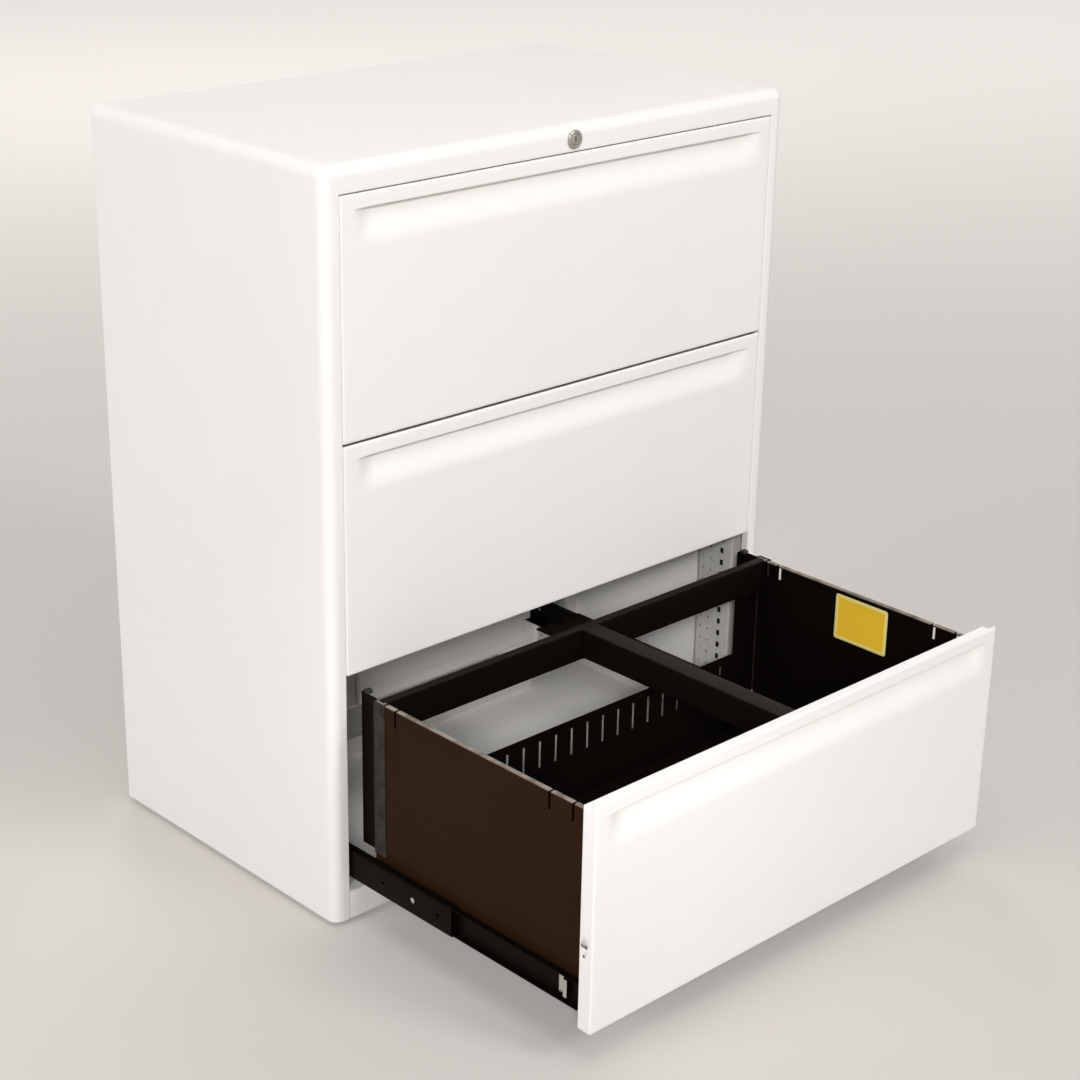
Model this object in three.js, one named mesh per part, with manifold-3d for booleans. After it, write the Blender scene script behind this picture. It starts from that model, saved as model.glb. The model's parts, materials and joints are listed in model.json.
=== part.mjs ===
// Lateral filing cabinet with three full-extension drawers, the bottom one pulled out.
// Millimetres, +Z up, the front faces -Y. The origin is on the floor, in the middle of the
// cabinet with its bottom drawer open.

import * as THREE from "three";
import { mergeVertices } from "three/addons/utils/BufferGeometryUtils.js";
import Module from "manifold-3d";

const wasm = await Module();
wasm.setup();

// Driving dimensions: case
const CASE_WIDTH = 800;
const CASE_DEPTH = 470;
const BASE_HEIGHT = 45;
const DRAWER_PITCH = 305;
const TOP_RAIL_HEIGHT = 35;
const STILE_WIDTH = 25;
const EDGE_RADIUS = 15;
const CASE_SHEET = 1;
const STILE_LIP = 12;
const RAIL_LIP = 20;
const SEAT_GAP = 0.3;

// Driving dimensions: base, feet and counterweight
const FOOT_HEIGHT = 6;
const FOOT_DIAMETER = 40;
const FOOT_INSET = 50;
const STEM_DIAMETER = 10;
const STEM_STAND = 14;
const STEM_CLEARANCE = 0.4;
const PAN_SHEET = 1.5;
const PAN_RIM = 12;
const WEIGHT_LENGTH = 560;
const WEIGHT_DEPTH = 80;
const WEIGHT_HEIGHT = 28;
const WEIGHT_BACK_SPACE = 30;

// Driving dimensions: perforated uprights
const UPRIGHT_WIDTH = 65;
const UPRIGHT_SHEET = 1.5;
const UPRIGHT_FRONT_SPACE = 30;
const UPRIGHT_BACK_SPACE = 30;
const UPRIGHT_TOP_SPACE = 12;
const HOLE_PITCH = 38;
const HOLE_WIDTH = 8;
const HOLE_HEIGHT = 14;
const HOLE_END_MARGIN = 30;

// Driving dimensions: drawers
const DRAWER_TRAVEL = 440;
const FRONT_GAP = 3;
const FRONT_SIDE_GAP = 1;
const FRONT_DEPTH = 22;
const FRONT_SHEET = 1;
const FRONT_FLANGE = 25;
const PULL_LIP = 19;
const PULL_DEPTH = 9;
const PULL_HEIGHT = 46;
const PULL_END = 16;
const DRAWER_BACK_SPACE = 67;
const DRAWER_SHEET = 1;
const SIDE_FOOT = 18;
const SIDE_TOP_SPACE = 22;
const SIDE_FLANGE = 12;
const HEM_WIDTH = 4;
const HEM_HEIGHT = 8;
const NOTCH_WIDTH = 4;
const NOTCH_DEPTH = 24;
const NOTCH_INSETS_FRONT = [28, 67];
const NOTCH_INSETS_BACK = [8, 39];
const TRAY_BACK_HEIGHT = 125;
const TRAY_COLUMN = 46;
const BACK_SLOT_PITCH = 30;
const BACK_SLOT_WIDTH = 4;
const BACK_SLOT_HEIGHT = 40;
const BACK_SLOT_DROP = 13;
const HANG_RAIL_HEIGHT = 44;
const HANG_RAIL_THICKNESS = 14;
const CENTRE_RAIL_WIDTH = 30;
const CENTRE_RAIL_HEIGHT = 40;
const CATCH_WIDTH = 80;
const CATCH_BACK_SPACE = 12;
const CATCH_LEG = 30;
const CATCH_SHEET = 2;
const CATCH_DROP = 12;

// Driving dimensions: three-member slides
const SLIDE_DEPTH = 14;
const SLIDE_HEIGHT = 45;
const SLIDE_RISE = 41;
const SLIDE_SHEET = 1.4;
const SLIDE_CLEARANCE = 0.5;
const SLIDE_FRONT_SPACE = 3;
const SLIDE_BACK_SPACE = 14;

// Driving dimensions: lock
const LOCK_RISE = 16;
const LOCK_BEZEL_DIAMETER = 24;
const LOCK_BEZEL_THICKNESS = 3;
const LOCK_BEZEL_CHAMFER = 1;
const LOCK_BODY_DIAMETER = 19;
const LOCK_BODY_LENGTH = 26;
const LOCK_PLUG_DIAMETER = 14;
const LOCK_CLEARANCE = 0.3;
const KEY_SLOT_WIDTH = 2;
const KEY_SLOT_HEIGHT = 8;
const KEY_SLOT_DEPTH = 8;
const SHAFT_DIAMETER = 8;
const CRANK_RADIUS = 10;
const CRANK_THICKNESS = 4;
const CRANK_MARGIN = 4;
const PIN_DIAMETER = 5;
const PIN_SLACK = 0.7;
const LOCK_BAR_WIDTH = 36;
const LOCK_BAR_THICKNESS = 3;
const LOCK_BAR_HEAD = 3;
const LOCK_BAR_FOOT_SPACE = 60;
const LUG_WIDTH = 12;
const LUG_HEIGHT = 10;
const LUG_REACH = 18;
const LUG_CLEARANCE = 2;
const CHANNEL_SHEET = 1.2;
const CHANNEL_CLEARANCE = 0.5;
const CHANNEL_LIP = 6;
const CHANNEL_TOP_SPACE = 3;

// Facets on round stretches
const EDGE_STEPS = 5;
const PULL_STEPS = 6;
const ROUND_STEPS = 16;

const DRAWER_NAMES = ["bottom", "middle", "top"];
const OPEN_DRAWER = "bottom";
const SIDES = { left: -1, right: 1 };

// Sizes that follow from the driving dimensions
const halfWidth = CASE_WIDTH / 2;
const openingHalf = halfWidth - STILE_WIDTH;
const sideInside = halfWidth - CASE_SHEET;
const bayTop = BASE_HEIGHT + DRAWER_NAMES.length * DRAWER_PITCH;
const caseTop = bayTop + TOP_RAIL_HEIGHT;
const caseFront = (DRAWER_TRAVEL - CASE_DEPTH) / 2;
const backInside = CASE_DEPTH - CASE_SHEET;
const panelBack = backInside - SEAT_GAP;
const edgeRadius = Math.min(EDGE_RADIUS, STILE_WIDTH - CASE_SHEET, TOP_RAIL_HEIGHT - CASE_SHEET);
const panTop = FOOT_HEIGHT + PAN_SHEET;
const lockHeight = bayTop + LOCK_RISE;
const bayFloor = (index) => BASE_HEIGHT + index * DRAWER_PITCH;

// Sizes within one drawer: y from the face of its front, z from the floor of its bay
const frontHalf = openingHalf - FRONT_SIDE_GAP;
const frontBottom = FRONT_GAP / 2;
const frontTop = DRAWER_PITCH - FRONT_GAP / 2;
const bodyFront = FRONT_DEPTH + SEAT_GAP;
const bodyBack = CASE_DEPTH - DRAWER_BACK_SPACE;
const sideOuter = openingHalf - SLIDE_DEPTH;
const sideTop = DRAWER_PITCH - SIDE_TOP_SPACE;
const trayHalf = sideOuter - HEM_WIDTH - SEAT_GAP;
const trayFloor = SIDE_FOOT + DRAWER_SHEET + SEAT_GAP;
const railBottom = sideTop - HANG_RAIL_HEIGHT;
const catchTop = sideTop - CATCH_DROP;

// Sizes of the lock bar and its channel, y from the case front
const channelBack = panelBack;
const barBack = channelBack - CHANNEL_SHEET - CHANNEL_CLEARANCE;
const barFront = barBack - LOCK_BAR_THICKNESS;
const channelFront = barFront - CHANNEL_CLEARANCE - CHANNEL_SHEET;
const channelHalf = LOCK_BAR_WIDTH / 2 + CHANNEL_CLEARANCE + CHANNEL_SHEET;
const crankBack = channelFront - SEAT_GAP;
const crankFront = crankBack - CRANK_THICKNESS;
const pinOffset = CRANK_RADIUS * Math.SQRT1_2;
const lockStroke = 2 * pinOffset;

// Finishes
const FINISHES = {
  white_powder_coat: { color: 0xf1ede6, roughness: 0.5, metalness: 0 },
  black_powder_coat: { color: 0x1d1916, roughness: 0.55, metalness: 0 },
  black_slide_coat: { color: 0x17161a, roughness: 0.4, metalness: 0.3 },
  galvanised_steel: { color: 0xc9c6bf, roughness: 0.45, metalness: 0.6 },
  nickel_lock: { color: 0xa9a7a2, roughness: 0.3, metalness: 1 },
  black_nylon: { color: 0x1b1b1b, roughness: 0.6, metalness: 0 },
};

function piece(name, finish, geometry) {
  const mesh = new THREE.Mesh(geometry, new THREE.MeshStandardMaterial(FINISHES[finish]));
  mesh.name = name;
  return mesh;
}

// Joining and cutting closed geometries
function solid(geometry) {
  const bare = geometry.clone();
  bare.deleteAttribute("normal");
  bare.deleteAttribute("uv");
  const merged = mergeVertices(bare);
  const vertProperties = new Float32Array(merged.attributes.position.array);
  const triVerts = new Uint32Array(merged.index.array);
  return new wasm.Manifold(new wasm.Mesh({ numProp: 3, vertProperties, triVerts }));
}

function geometryOf(manifold) {
  const { vertProperties, triVerts } = manifold.getMesh();
  const geometry = new THREE.BufferGeometry();
  geometry.setAttribute("position", new THREE.BufferAttribute(vertProperties, 3));
  geometry.setIndex(new THREE.BufferAttribute(triVerts, 1));
  geometry.computeVertexNormals();
  return geometry;
}

const combine = (operation) => (first, ...others) =>
  geometryOf(others.reduce((sum, other) => sum[operation](solid(other)), solid(first)));
const join = combine("add");
const cut = combine("subtract");
const common = combine("intersect");

// A box between low and high limits along each axis
function box([x0, x1], [y0, y1], [z0, z1]) {
  const geometry = new THREE.BoxGeometry(x1 - x0, y1 - y0, z1 - z0);
  return geometry.translate((x0 + x1) / 2, (y0 + y1) / 2, (z0 + z1) / 2);
}

// A flat outline carried along an axis. Along x it is drawn in (y, z), along y in (x, z)
// and along z in (x, y).
const X = new THREE.Vector3(1, 0, 0);
const Y = new THREE.Vector3(0, 1, 0);
const Z = new THREE.Vector3(0, 0, 1);
const PLANES = {
  x: { basis: [Y, Z, X], origin: (low) => [low, 0, 0] },
  y: { basis: [X, Z, Y.clone().negate()], origin: (low, high) => [0, high, 0] },
  z: { basis: [X, Y, Z], origin: (low) => [0, 0, low] },
};

function extrude(shape, axis, low, high, curveSegments = EDGE_STEPS) {
  const options = { depth: high - low, bevelEnabled: false, curveSegments };
  const geometry = new THREE.ExtrudeGeometry(shape, options);
  const plane = PLANES[axis];
  geometry.applyMatrix4(new THREE.Matrix4().makeBasis(...plane.basis));
  return geometry.translate(...plane.origin(low, high));
}

// The outline of a bent sheet. The path is one face of it, and the metal lies to its left.
function sheet(path, thickness) {
  const corners = path.map(([u, v]) => new THREE.Vector2(u, v));
  const leftOf = (from, to) => {
    const along = to.clone().sub(from).normalize();
    return new THREE.Vector2(-along.y, along.x);
  };
  const last = corners.length - 1;
  const otherFace = corners.map((corner, i) => {
    const before = leftOf(corners[Math.max(i - 1, 0)], corners[Math.max(i, 1)]);
    const after = leftOf(corners[Math.min(i, last - 1)], corners[Math.min(i + 1, last)]);
    const mitre = before.clone().add(after).normalize();
    return corner.clone().addScaledVector(mitre, thickness / mitre.dot(after));
  });
  return new THREE.Shape([...corners, ...otherFace.reverse()]);
}

// Paths are drawn for the left side. The right side is their mirror image, run backwards so
// that the metal stays on the same face.
const onSide = (side, path) => (side < 0 ? path : path.map(([u, v]) => [-u, v]).reverse());

function arc(centreU, centreV, radius, fromAngle, toAngle) {
  return Array.from({ length: EDGE_STEPS + 1 }, (_, i) => {
    const angle = fromAngle + ((toAngle - fromAngle) * i) / EDGE_STEPS;
    return [centreU + radius * Math.cos(angle), centreV + radius * Math.sin(angle)];
  });
}

function rod(diameter, y0, y1, x = 0, z = 0) {
  const geometry = new THREE.CylinderGeometry(diameter / 2, diameter / 2, y1 - y0, ROUND_STEPS);
  return geometry.translate(x, (y0 + y1) / 2, z);
}

// Case shell: a side panel runs round the front edge into a stile, which ends in a lip
function sidePanel(side) {
  const edge = arc(-halfWidth + edgeRadius, edgeRadius, edgeRadius, Math.PI, 1.5 * Math.PI);
  const path = [
    [-halfWidth, panelBack],
    ...edge,
    [-openingHalf, 0],
    [-openingHalf, STILE_LIP],
  ];
  return extrude(sheet(onSide(side, path), CASE_SHEET), "z", FOOT_HEIGHT, bayTop - SEAT_GAP);
}

// A wall outline in (x, z) with both upper corners rounded
function gable(half, low, high, radius) {
  const shape = new THREE.Shape();
  shape.moveTo(-half, low);
  shape.lineTo(half, low);
  shape.absarc(half - radius, high - radius, radius, 0, Math.PI / 2);
  shape.absarc(-half + radius, high - radius, radius, Math.PI / 2, Math.PI);
  return shape;
}

// The rounded block that the top panel is pressed over, drawn in by an inset on every face
// but the open ones, which run on by the same amount
function topBlock(inset) {
  const half = halfWidth - inset;
  const radius = edgeRadius - inset;
  const low = bayTop - inset;
  const high = caseTop - inset;
  const back = panelBack + inset;
  const plan = new THREE.Shape();
  plan.moveTo(half, back);
  plan.lineTo(-half, back);
  plan.absarc(-half + radius, inset + radius, radius, Math.PI, 1.5 * Math.PI);
  plan.absarc(half - radius, inset + radius, radius, 1.5 * Math.PI, 2 * Math.PI);
  const profile = new THREE.Shape();
  profile.moveTo(inset, low);
  profile.lineTo(back, low);
  profile.lineTo(back, high);
  profile.absarc(inset + radius, high - radius, radius, Math.PI / 2, Math.PI);
  return common(
    extrude(plan, "z", low, high),
    extrude(gable(half, low, high, radius), "y", inset, back),
    extrude(profile, "x", -half, half),
  );
}

function topPanel() {
  const shell = cut(topBlock(0), topBlock(CASE_SHEET));
  const lip = box(
    [-openingHalf, openingHalf],
    [CASE_SHEET / 2, RAIL_LIP],
    [bayTop, bayTop + CASE_SHEET],
  );
  const lockHole = rod(LOCK_BODY_DIAMETER + 2 * LOCK_CLEARANCE, -RAIL_LIP, RAIL_LIP, 0, lockHeight);
  return cut(join(shell, lip), lockHole);
}

function backPanel() {
  return extrude(gable(halfWidth, FOOT_HEIGHT, caseTop, edgeRadius), "y", backInside, CASE_DEPTH);
}

// Base: pan on the feet, rail across the front, counterweight at the back
const footPlaces = [-1, 1].flatMap((side) =>
  [FOOT_INSET, CASE_DEPTH - FOOT_INSET].map((y) => [side * (halfWidth - FOOT_INSET), y]),
);

function basePan() {
  const panFront = Math.max(STILE_LIP, edgeRadius) + SEAT_GAP;
  const path = [
    [panFront, FOOT_HEIGHT + PAN_RIM],
    [panFront, FOOT_HEIGHT],
    [panelBack, FOOT_HEIGHT],
    [panelBack, FOOT_HEIGHT + PAN_RIM],
  ];
  const half = sideInside - SEAT_GAP;
  const holes = footPlaces.map(([x, y]) => {
    const radius = STEM_DIAMETER / 2 + STEM_CLEARANCE;
    const hole = new THREE.CylinderGeometry(radius, radius, 4 * PAN_SHEET, ROUND_STEPS);
    return hole.rotateX(Math.PI / 2).translate(x, y, FOOT_HEIGHT + PAN_SHEET / 2);
  });
  return cut(extrude(sheet(path, PAN_SHEET), "x", -half, half), ...holes);
}

function baseRail() {
  const path = [
    [RAIL_LIP, BASE_HEIGHT],
    [0, BASE_HEIGHT],
    [0, FOOT_HEIGHT],
  ];
  const half = openingHalf - SEAT_GAP;
  return extrude(sheet(path, CASE_SHEET), "x", -half, half);
}

function foot([x, y]) {
  const padRadius = FOOT_DIAMETER / 2;
  const stemRadius = STEM_DIAMETER / 2;
  const padTop = FOOT_HEIGHT - SEAT_GAP;
  const edge = padTop / 3;
  const profile = [
    [0, 0],
    [padRadius - edge, 0],
    [padRadius, edge],
    [padRadius, padTop],
    [stemRadius, padTop],
    [stemRadius, panTop + STEM_STAND],
    [0, panTop + STEM_STAND],
  ];
  const points = profile.map(([radius, height]) => new THREE.Vector2(radius, height));
  return new THREE.LatheGeometry(points, ROUND_STEPS).rotateX(Math.PI / 2).translate(x, y, 0);
}

function counterweight() {
  const back = channelFront - WEIGHT_BACK_SPACE;
  const bottom = panTop + SEAT_GAP;
  return box(
    [-WEIGHT_LENGTH / 2, WEIGHT_LENGTH / 2],
    [back - WEIGHT_DEPTH, back],
    [bottom, bottom + WEIGHT_HEIGHT],
  );
}

// Uprights: channels on the side panels, punched for the slides' hooks
function upright(side, front) {
  const wall = -(sideInside - SEAT_GAP);
  const path = [
    [wall, front],
    [-openingHalf, front],
    [-openingHalf, front + UPRIGHT_WIDTH],
    [wall, front + UPRIGHT_WIDTH],
  ];
  const low = panTop + SEAT_GAP;
  const high = bayTop - UPRIGHT_TOP_SPACE;
  const channel = extrude(sheet(onSide(side, path), UPRIGHT_SHEET), "z", low, high);
  const middle = front + UPRIGHT_WIDTH / 2;
  const span = high - low - 2 * HOLE_END_MARGIN;
  const count = Math.floor(span / HOLE_PITCH) + 1;
  const firstHole = (low + high - (count - 1) * HOLE_PITCH) / 2;
  const holes = Array.from({ length: count }, (_, i) => {
    const z = firstHole + i * HOLE_PITCH;
    const x = side * openingHalf;
    return box(
      [x - 2 * UPRIGHT_SHEET, x + 2 * UPRIGHT_SHEET],
      [middle - HOLE_WIDTH / 2, middle + HOLE_WIDTH / 2],
      [z - HOLE_HEIGHT / 2, z + HOLE_HEIGHT / 2],
    );
  });
  return cut(channel, ...holes);
}

// Slide members: nested channels, drawn for the left side in (x, z). The outer and middle
// members open towards the drawer, and the inner member opens towards the case. Each level
// is nested in the one before it.
const slideLow = bodyFront + SLIDE_FRONT_SPACE;
const slideHigh = CASE_DEPTH - SLIDE_BACK_SPACE;
const memberStep = SLIDE_SHEET + SLIDE_CLEARANCE;
const outerFace = openingHalf - SEAT_GAP;
const middleFace = outerFace - memberStep;
const innerFace = sideOuter + SEAT_GAP;
const innerTip = middleFace - memberStep;
const openTip = sideOuter + 2 * SLIDE_CLEARANCE;

function slideMember(side, web, tip, level) {
  const half = SLIDE_HEIGHT / 2 - level * memberStep;
  const upper = [-tip, SLIDE_RISE + half];
  const lower = [-tip, SLIDE_RISE - half];
  const webPoints = [
    [-web, SLIDE_RISE + half],
    [-web, SLIDE_RISE - half],
  ];
  const opensInward = tip < web;
  const path = opensInward
    ? [upper, ...webPoints, lower]
    : [lower, ...webPoints.reverse(), upper];
  return extrude(sheet(onSide(side, path), SLIDE_SHEET), "y", slideLow, slideHigh);
}

// Drawer front: a folded pan with a flange all round its open back, which the drawer's body
// seats against, and a scooped pull under its top lip
function pullOutline(wall) {
  const lip = frontTop - PULL_LIP + wall;
  const depth = PULL_DEPTH + wall;
  const foot = frontTop - PULL_LIP - PULL_HEIGHT - wall;
  const shape = new THREE.Shape();
  shape.moveTo(-PULL_DEPTH, lip);
  shape.lineTo(-PULL_DEPTH, foot);
  shape.lineTo(wall, foot);
  shape.bezierCurveTo(wall, foot + PULL_HEIGHT / 3, depth, lip - PULL_HEIGHT / 2, depth, lip - wall);
  shape.lineTo(depth, lip);
  return shape;
}

function drawerFront() {
  const pullHalf = frontHalf - PULL_END;
  const within = (inset, y0, y1) =>
    box([inset - frontHalf, frontHalf - inset], [y0, y1], [frontBottom + inset, frontTop - inset]);
  const block = within(0, 0, FRONT_DEPTH);
  const hollow = within(FRONT_SHEET, FRONT_SHEET, FRONT_DEPTH - FRONT_SHEET);
  const mouth = within(FRONT_SHEET + FRONT_FLANGE, FRONT_DEPTH - 2 * FRONT_SHEET, 2 * FRONT_DEPTH);
  const wallHalf = pullHalf + FRONT_SHEET;
  const pullWall = extrude(pullOutline(FRONT_SHEET), "x", -wallHalf, wallHalf, PULL_STEPS);
  const pull = extrude(pullOutline(0), "x", -pullHalf, pullHalf, PULL_STEPS);
  return cut(block, cut(hollow, pullWall), mouth, pull);
}

// Drawer side: flange under the tray, folded hem along the top, notches for cross bars
function drawerSide(side) {
  const hem = -(sideOuter - HEM_WIDTH);
  const path = [
    [hem, sideTop - HEM_HEIGHT],
    [hem, sideTop],
    [-sideOuter, sideTop],
    [-sideOuter, SIDE_FOOT],
    [-sideOuter + SIDE_FLANGE, SIDE_FOOT],
  ];
  const wall = extrude(sheet(onSide(side, path), DRAWER_SHEET), "y", bodyFront, bodyBack);
  const places = [
    ...NOTCH_INSETS_FRONT.map((inset) => bodyFront + inset),
    ...NOTCH_INSETS_BACK.map((inset) => bodyBack - inset),
  ];
  const notches = places.map((y) =>
    box(
      [side * sideOuter - 2 * HEM_WIDTH, side * sideOuter + 2 * HEM_WIDTH],
      [y - NOTCH_WIDTH / 2, y + NOTCH_WIDTH / 2],
      [sideTop - NOTCH_DEPTH, sideTop + HEM_HEIGHT],
    ),
  );
  return cut(wall, ...notches);
}

// Tray: liner behind the front, floor, and a low slotted back between two columns
function drawerTray() {
  const columnTop = railBottom - SEAT_GAP;
  const backTop = trayFloor + TRAY_BACK_HEIGHT;
  const path = [
    [bodyFront, sideTop],
    [bodyFront, trayFloor],
    [bodyBack, trayFloor],
    [bodyBack, columnTop],
  ];
  const bent = extrude(sheet(path, DRAWER_SHEET), "x", -trayHalf, trayHalf);
  const throughBack = [bodyBack - 2 * DRAWER_SHEET, bodyBack + DRAWER_SHEET];
  const windowHalf = trayHalf - TRAY_COLUMN;
  const window = box([-windowHalf, windowHalf], throughBack, [backTop, sideTop]);
  const count = Math.floor((2 * windowHalf) / BACK_SLOT_PITCH);
  const slotTop = backTop - BACK_SLOT_DROP;
  const slots = Array.from({ length: count }, (_, i) => {
    const x = (i - (count - 1) / 2) * BACK_SLOT_PITCH;
    return box(
      [x - BACK_SLOT_WIDTH / 2, x + BACK_SLOT_WIDTH / 2],
      throughBack,
      [slotTop - BACK_SLOT_HEIGHT, slotTop],
    );
  });
  return cut(bent, window, ...slots);
}

// Hang rails: channels that open downwards
function rearRail() {
  const railFront = bodyBack - HANG_RAIL_THICKNESS;
  const path = [
    [bodyBack, railBottom],
    [bodyBack, sideTop],
    [railFront, sideTop],
    [railFront, railBottom],
  ];
  return extrude(sheet(path, DRAWER_SHEET), "x", -trayHalf, trayHalf);
}

function centreRail() {
  const half = CENTRE_RAIL_WIDTH / 2;
  const bottom = sideTop - CENTRE_RAIL_HEIGHT;
  const path = [
    [half, bottom],
    [half, sideTop],
    [-half, sideTop],
    [-half, bottom],
  ];
  const front = bodyFront + DRAWER_SHEET + SEAT_GAP;
  const back = bodyBack - HANG_RAIL_THICKNESS - SEAT_GAP;
  return extrude(sheet(path, DRAWER_SHEET), "y", front, back);
}

function catchBracket() {
  const seat = bodyBack + SEAT_GAP;
  const path = [
    [channelFront - CATCH_BACK_SPACE, catchTop],
    [seat, catchTop],
    [seat, catchTop - CATCH_LEG],
  ];
  return extrude(sheet(path, CATCH_SHEET), "x", -CATCH_WIDTH / 2, CATCH_WIDTH / 2);
}

// Lock: housing and plug in the top rail, a shaft with a crank, and the bar that it lowers
function lockHousing() {
  const bore = LOCK_PLUG_DIAMETER / 2 + LOCK_CLEARANCE;
  const bezel = LOCK_BEZEL_DIAMETER / 2;
  const body = LOCK_BODY_DIAMETER / 2;
  const face = -SEAT_GAP - LOCK_BEZEL_THICKNESS;
  const profile = [
    [bore, face],
    [bezel - LOCK_BEZEL_CHAMFER, face],
    [bezel, face + LOCK_BEZEL_CHAMFER],
    [bezel, -SEAT_GAP],
    [body, -SEAT_GAP],
    [body, LOCK_BODY_LENGTH],
    [bore, LOCK_BODY_LENGTH],
    [bore, face],
  ];
  const points = profile.map(([radius, y]) => new THREE.Vector2(radius, y));
  return new THREE.LatheGeometry(points, ROUND_STEPS).translate(0, 0, lockHeight);
}

function lockPlug() {
  const face = -SEAT_GAP - LOCK_BEZEL_THICKNESS;
  const barrel = rod(LOCK_PLUG_DIAMETER, face, LOCK_BODY_LENGTH, 0, lockHeight);
  const keySlot = box(
    [-KEY_SLOT_WIDTH / 2, KEY_SLOT_WIDTH / 2],
    [face - KEY_SLOT_DEPTH, face + KEY_SLOT_DEPTH],
    [lockHeight - KEY_SLOT_HEIGHT / 2, lockHeight + KEY_SLOT_HEIGHT / 2],
  );
  return cut(barrel, keySlot);
}

function lockShaft() {
  const shaft = rod(SHAFT_DIAMETER, LOCK_BODY_LENGTH + SEAT_GAP, crankBack);
  const armHalf = SHAFT_DIAMETER / 2;
  const arm = box(
    [-armHalf, CRANK_RADIUS + CRANK_MARGIN],
    [crankFront, crankBack],
    [-armHalf, armHalf],
  );
  const pin = rod(PIN_DIAMETER, crankFront, barBack, CRANK_RADIUS);
  return join(shaft, arm, pin).rotateY(-Math.PI / 4).translate(0, 0, lockHeight);
}

// At rest the bar is up. The pin's slot is wide enough for its swing, and the lugs stand
// above the drawers' catches.
function lockBar() {
  const half = LOCK_BAR_WIDTH / 2;
  const pinHeight = lockHeight + pinOffset;
  const slotHalf = PIN_DIAMETER / 2 + PIN_SLACK;
  const throughBar = [barFront - LOCK_BAR_THICKNESS, barBack + LOCK_BAR_THICKNESS];
  const strip = box(
    [-half, half],
    [barFront, barBack],
    [FOOT_HEIGHT + LOCK_BAR_FOOT_SPACE, pinHeight + slotHalf + LOCK_BAR_HEAD],
  );
  const pinSlot = box(
    [pinOffset - slotHalf, CRANK_RADIUS + slotHalf],
    throughBar,
    [pinHeight - slotHalf, pinHeight + slotHalf],
  );
  const lugs = DRAWER_NAMES.map((_, index) => {
    const bottom = bayFloor(index) + catchTop + lockStroke + LUG_CLEARANCE;
    return box(
      [-LUG_WIDTH / 2, LUG_WIDTH / 2],
      [barFront - LUG_REACH, barBack],
      [bottom, bottom + LUG_HEIGHT],
    );
  });
  return cut(join(strip, ...lugs), pinSlot);
}

function lockChannel() {
  const mouth = channelHalf - CHANNEL_LIP;
  const path = [
    [mouth, channelFront],
    [channelHalf, channelFront],
    [channelHalf, channelBack],
    [-channelHalf, channelBack],
    [-channelHalf, channelFront],
    [-mouth, channelFront],
  ];
  const low = FOOT_HEIGHT + PAN_RIM + SEAT_GAP;
  const high = caseTop - CASE_SHEET - CHANNEL_TOP_SPACE;
  return extrude(sheet(path, CHANNEL_SHEET), "z", low, high);
}

// Assembly: the case, with y from its front plane
const cabinet = new THREE.Group();
cabinet.position.y = caseFront;

cabinet.add(
  piece("top_panel", "white_powder_coat", topPanel()),
  piece("back_panel", "white_powder_coat", backPanel()),
  piece("base_pan", "galvanised_steel", basePan()),
  piece("base_front_rail", "white_powder_coat", baseRail()),
  piece("counterweight", "galvanised_steel", counterweight()),
  piece("lock_housing", "nickel_lock", lockHousing()),
  piece("lock_plug", "nickel_lock", lockPlug()),
  piece("lock_shaft", "galvanised_steel", lockShaft()),
  piece("lock_bar", "galvanised_steel", lockBar()),
  piece("lock_channel", "galvanised_steel", lockChannel()),
);

for (const [sideName, side] of Object.entries(SIDES)) {
  const rearUpright = CASE_DEPTH - UPRIGHT_BACK_SPACE - UPRIGHT_WIDTH;
  cabinet.add(
    piece(`${sideName}_side_panel`, "white_powder_coat", sidePanel(side)),
    piece(`${sideName}_front_upright`, "galvanised_steel", upright(side, UPRIGHT_FRONT_SPACE)),
    piece(`${sideName}_rear_upright`, "galvanised_steel", upright(side, rearUpright)),
  );
}

footPlaces.forEach((place) => {
  const name = `${place[0] < 0 ? "left" : "right"}_${place[1] === FOOT_INSET ? "front" : "rear"}_foot`;
  cabinet.add(piece(name, "black_nylon", foot(place)));
});

// Assembly: the drawers. A middle slide member follows its drawer at half its travel.
DRAWER_NAMES.forEach((drawerName, index) => {
  const extension = drawerName === OPEN_DRAWER ? DRAWER_TRAVEL : 0;
  const groups = [0, 0.5, 1].map((share) => {
    const group = new THREE.Group();
    group.position.set(0, -extension * share, bayFloor(index));
    cabinet.add(group);
    return group;
  });
  const [fixed, halfway, drawer] = groups;

  drawer.add(
    piece(`${drawerName}_drawer_front`, "white_powder_coat", drawerFront()),
    piece(`${drawerName}_drawer_tray`, "black_powder_coat", drawerTray()),
    piece(`${drawerName}_rear_hang_rail`, "black_powder_coat", rearRail()),
    piece(`${drawerName}_centre_hang_rail`, "black_powder_coat", centreRail()),
    piece(`${drawerName}_catch_bracket`, "black_powder_coat", catchBracket()),
  );

  for (const [sideName, side] of Object.entries(SIDES)) {
    const slide = `${drawerName}_${sideName}_slide`;
    drawer.add(piece(`${drawerName}_drawer_${sideName}_side`, "black_powder_coat", drawerSide(side)));
    fixed.add(piece(`${slide}_outer`, "black_slide_coat", slideMember(side, outerFace, openTip, 0)));
    halfway.add(piece(`${slide}_middle`, "black_slide_coat", slideMember(side, middleFace, openTip, 1)));
    drawer.add(piece(`${slide}_inner`, "black_slide_coat", slideMember(side, innerFace, innerTip, 2)));
  }
});

export default cabinet;
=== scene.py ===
# Looks of a lateral filing cabinet with three full-width drawers, the bottom one pulled out.
# Lengths are written in millimetres, in the part's own frame, and go into the meshes in metres.

import json
import math

import bpy
import numpy as np
from mathutils import Matrix, Vector


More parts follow.
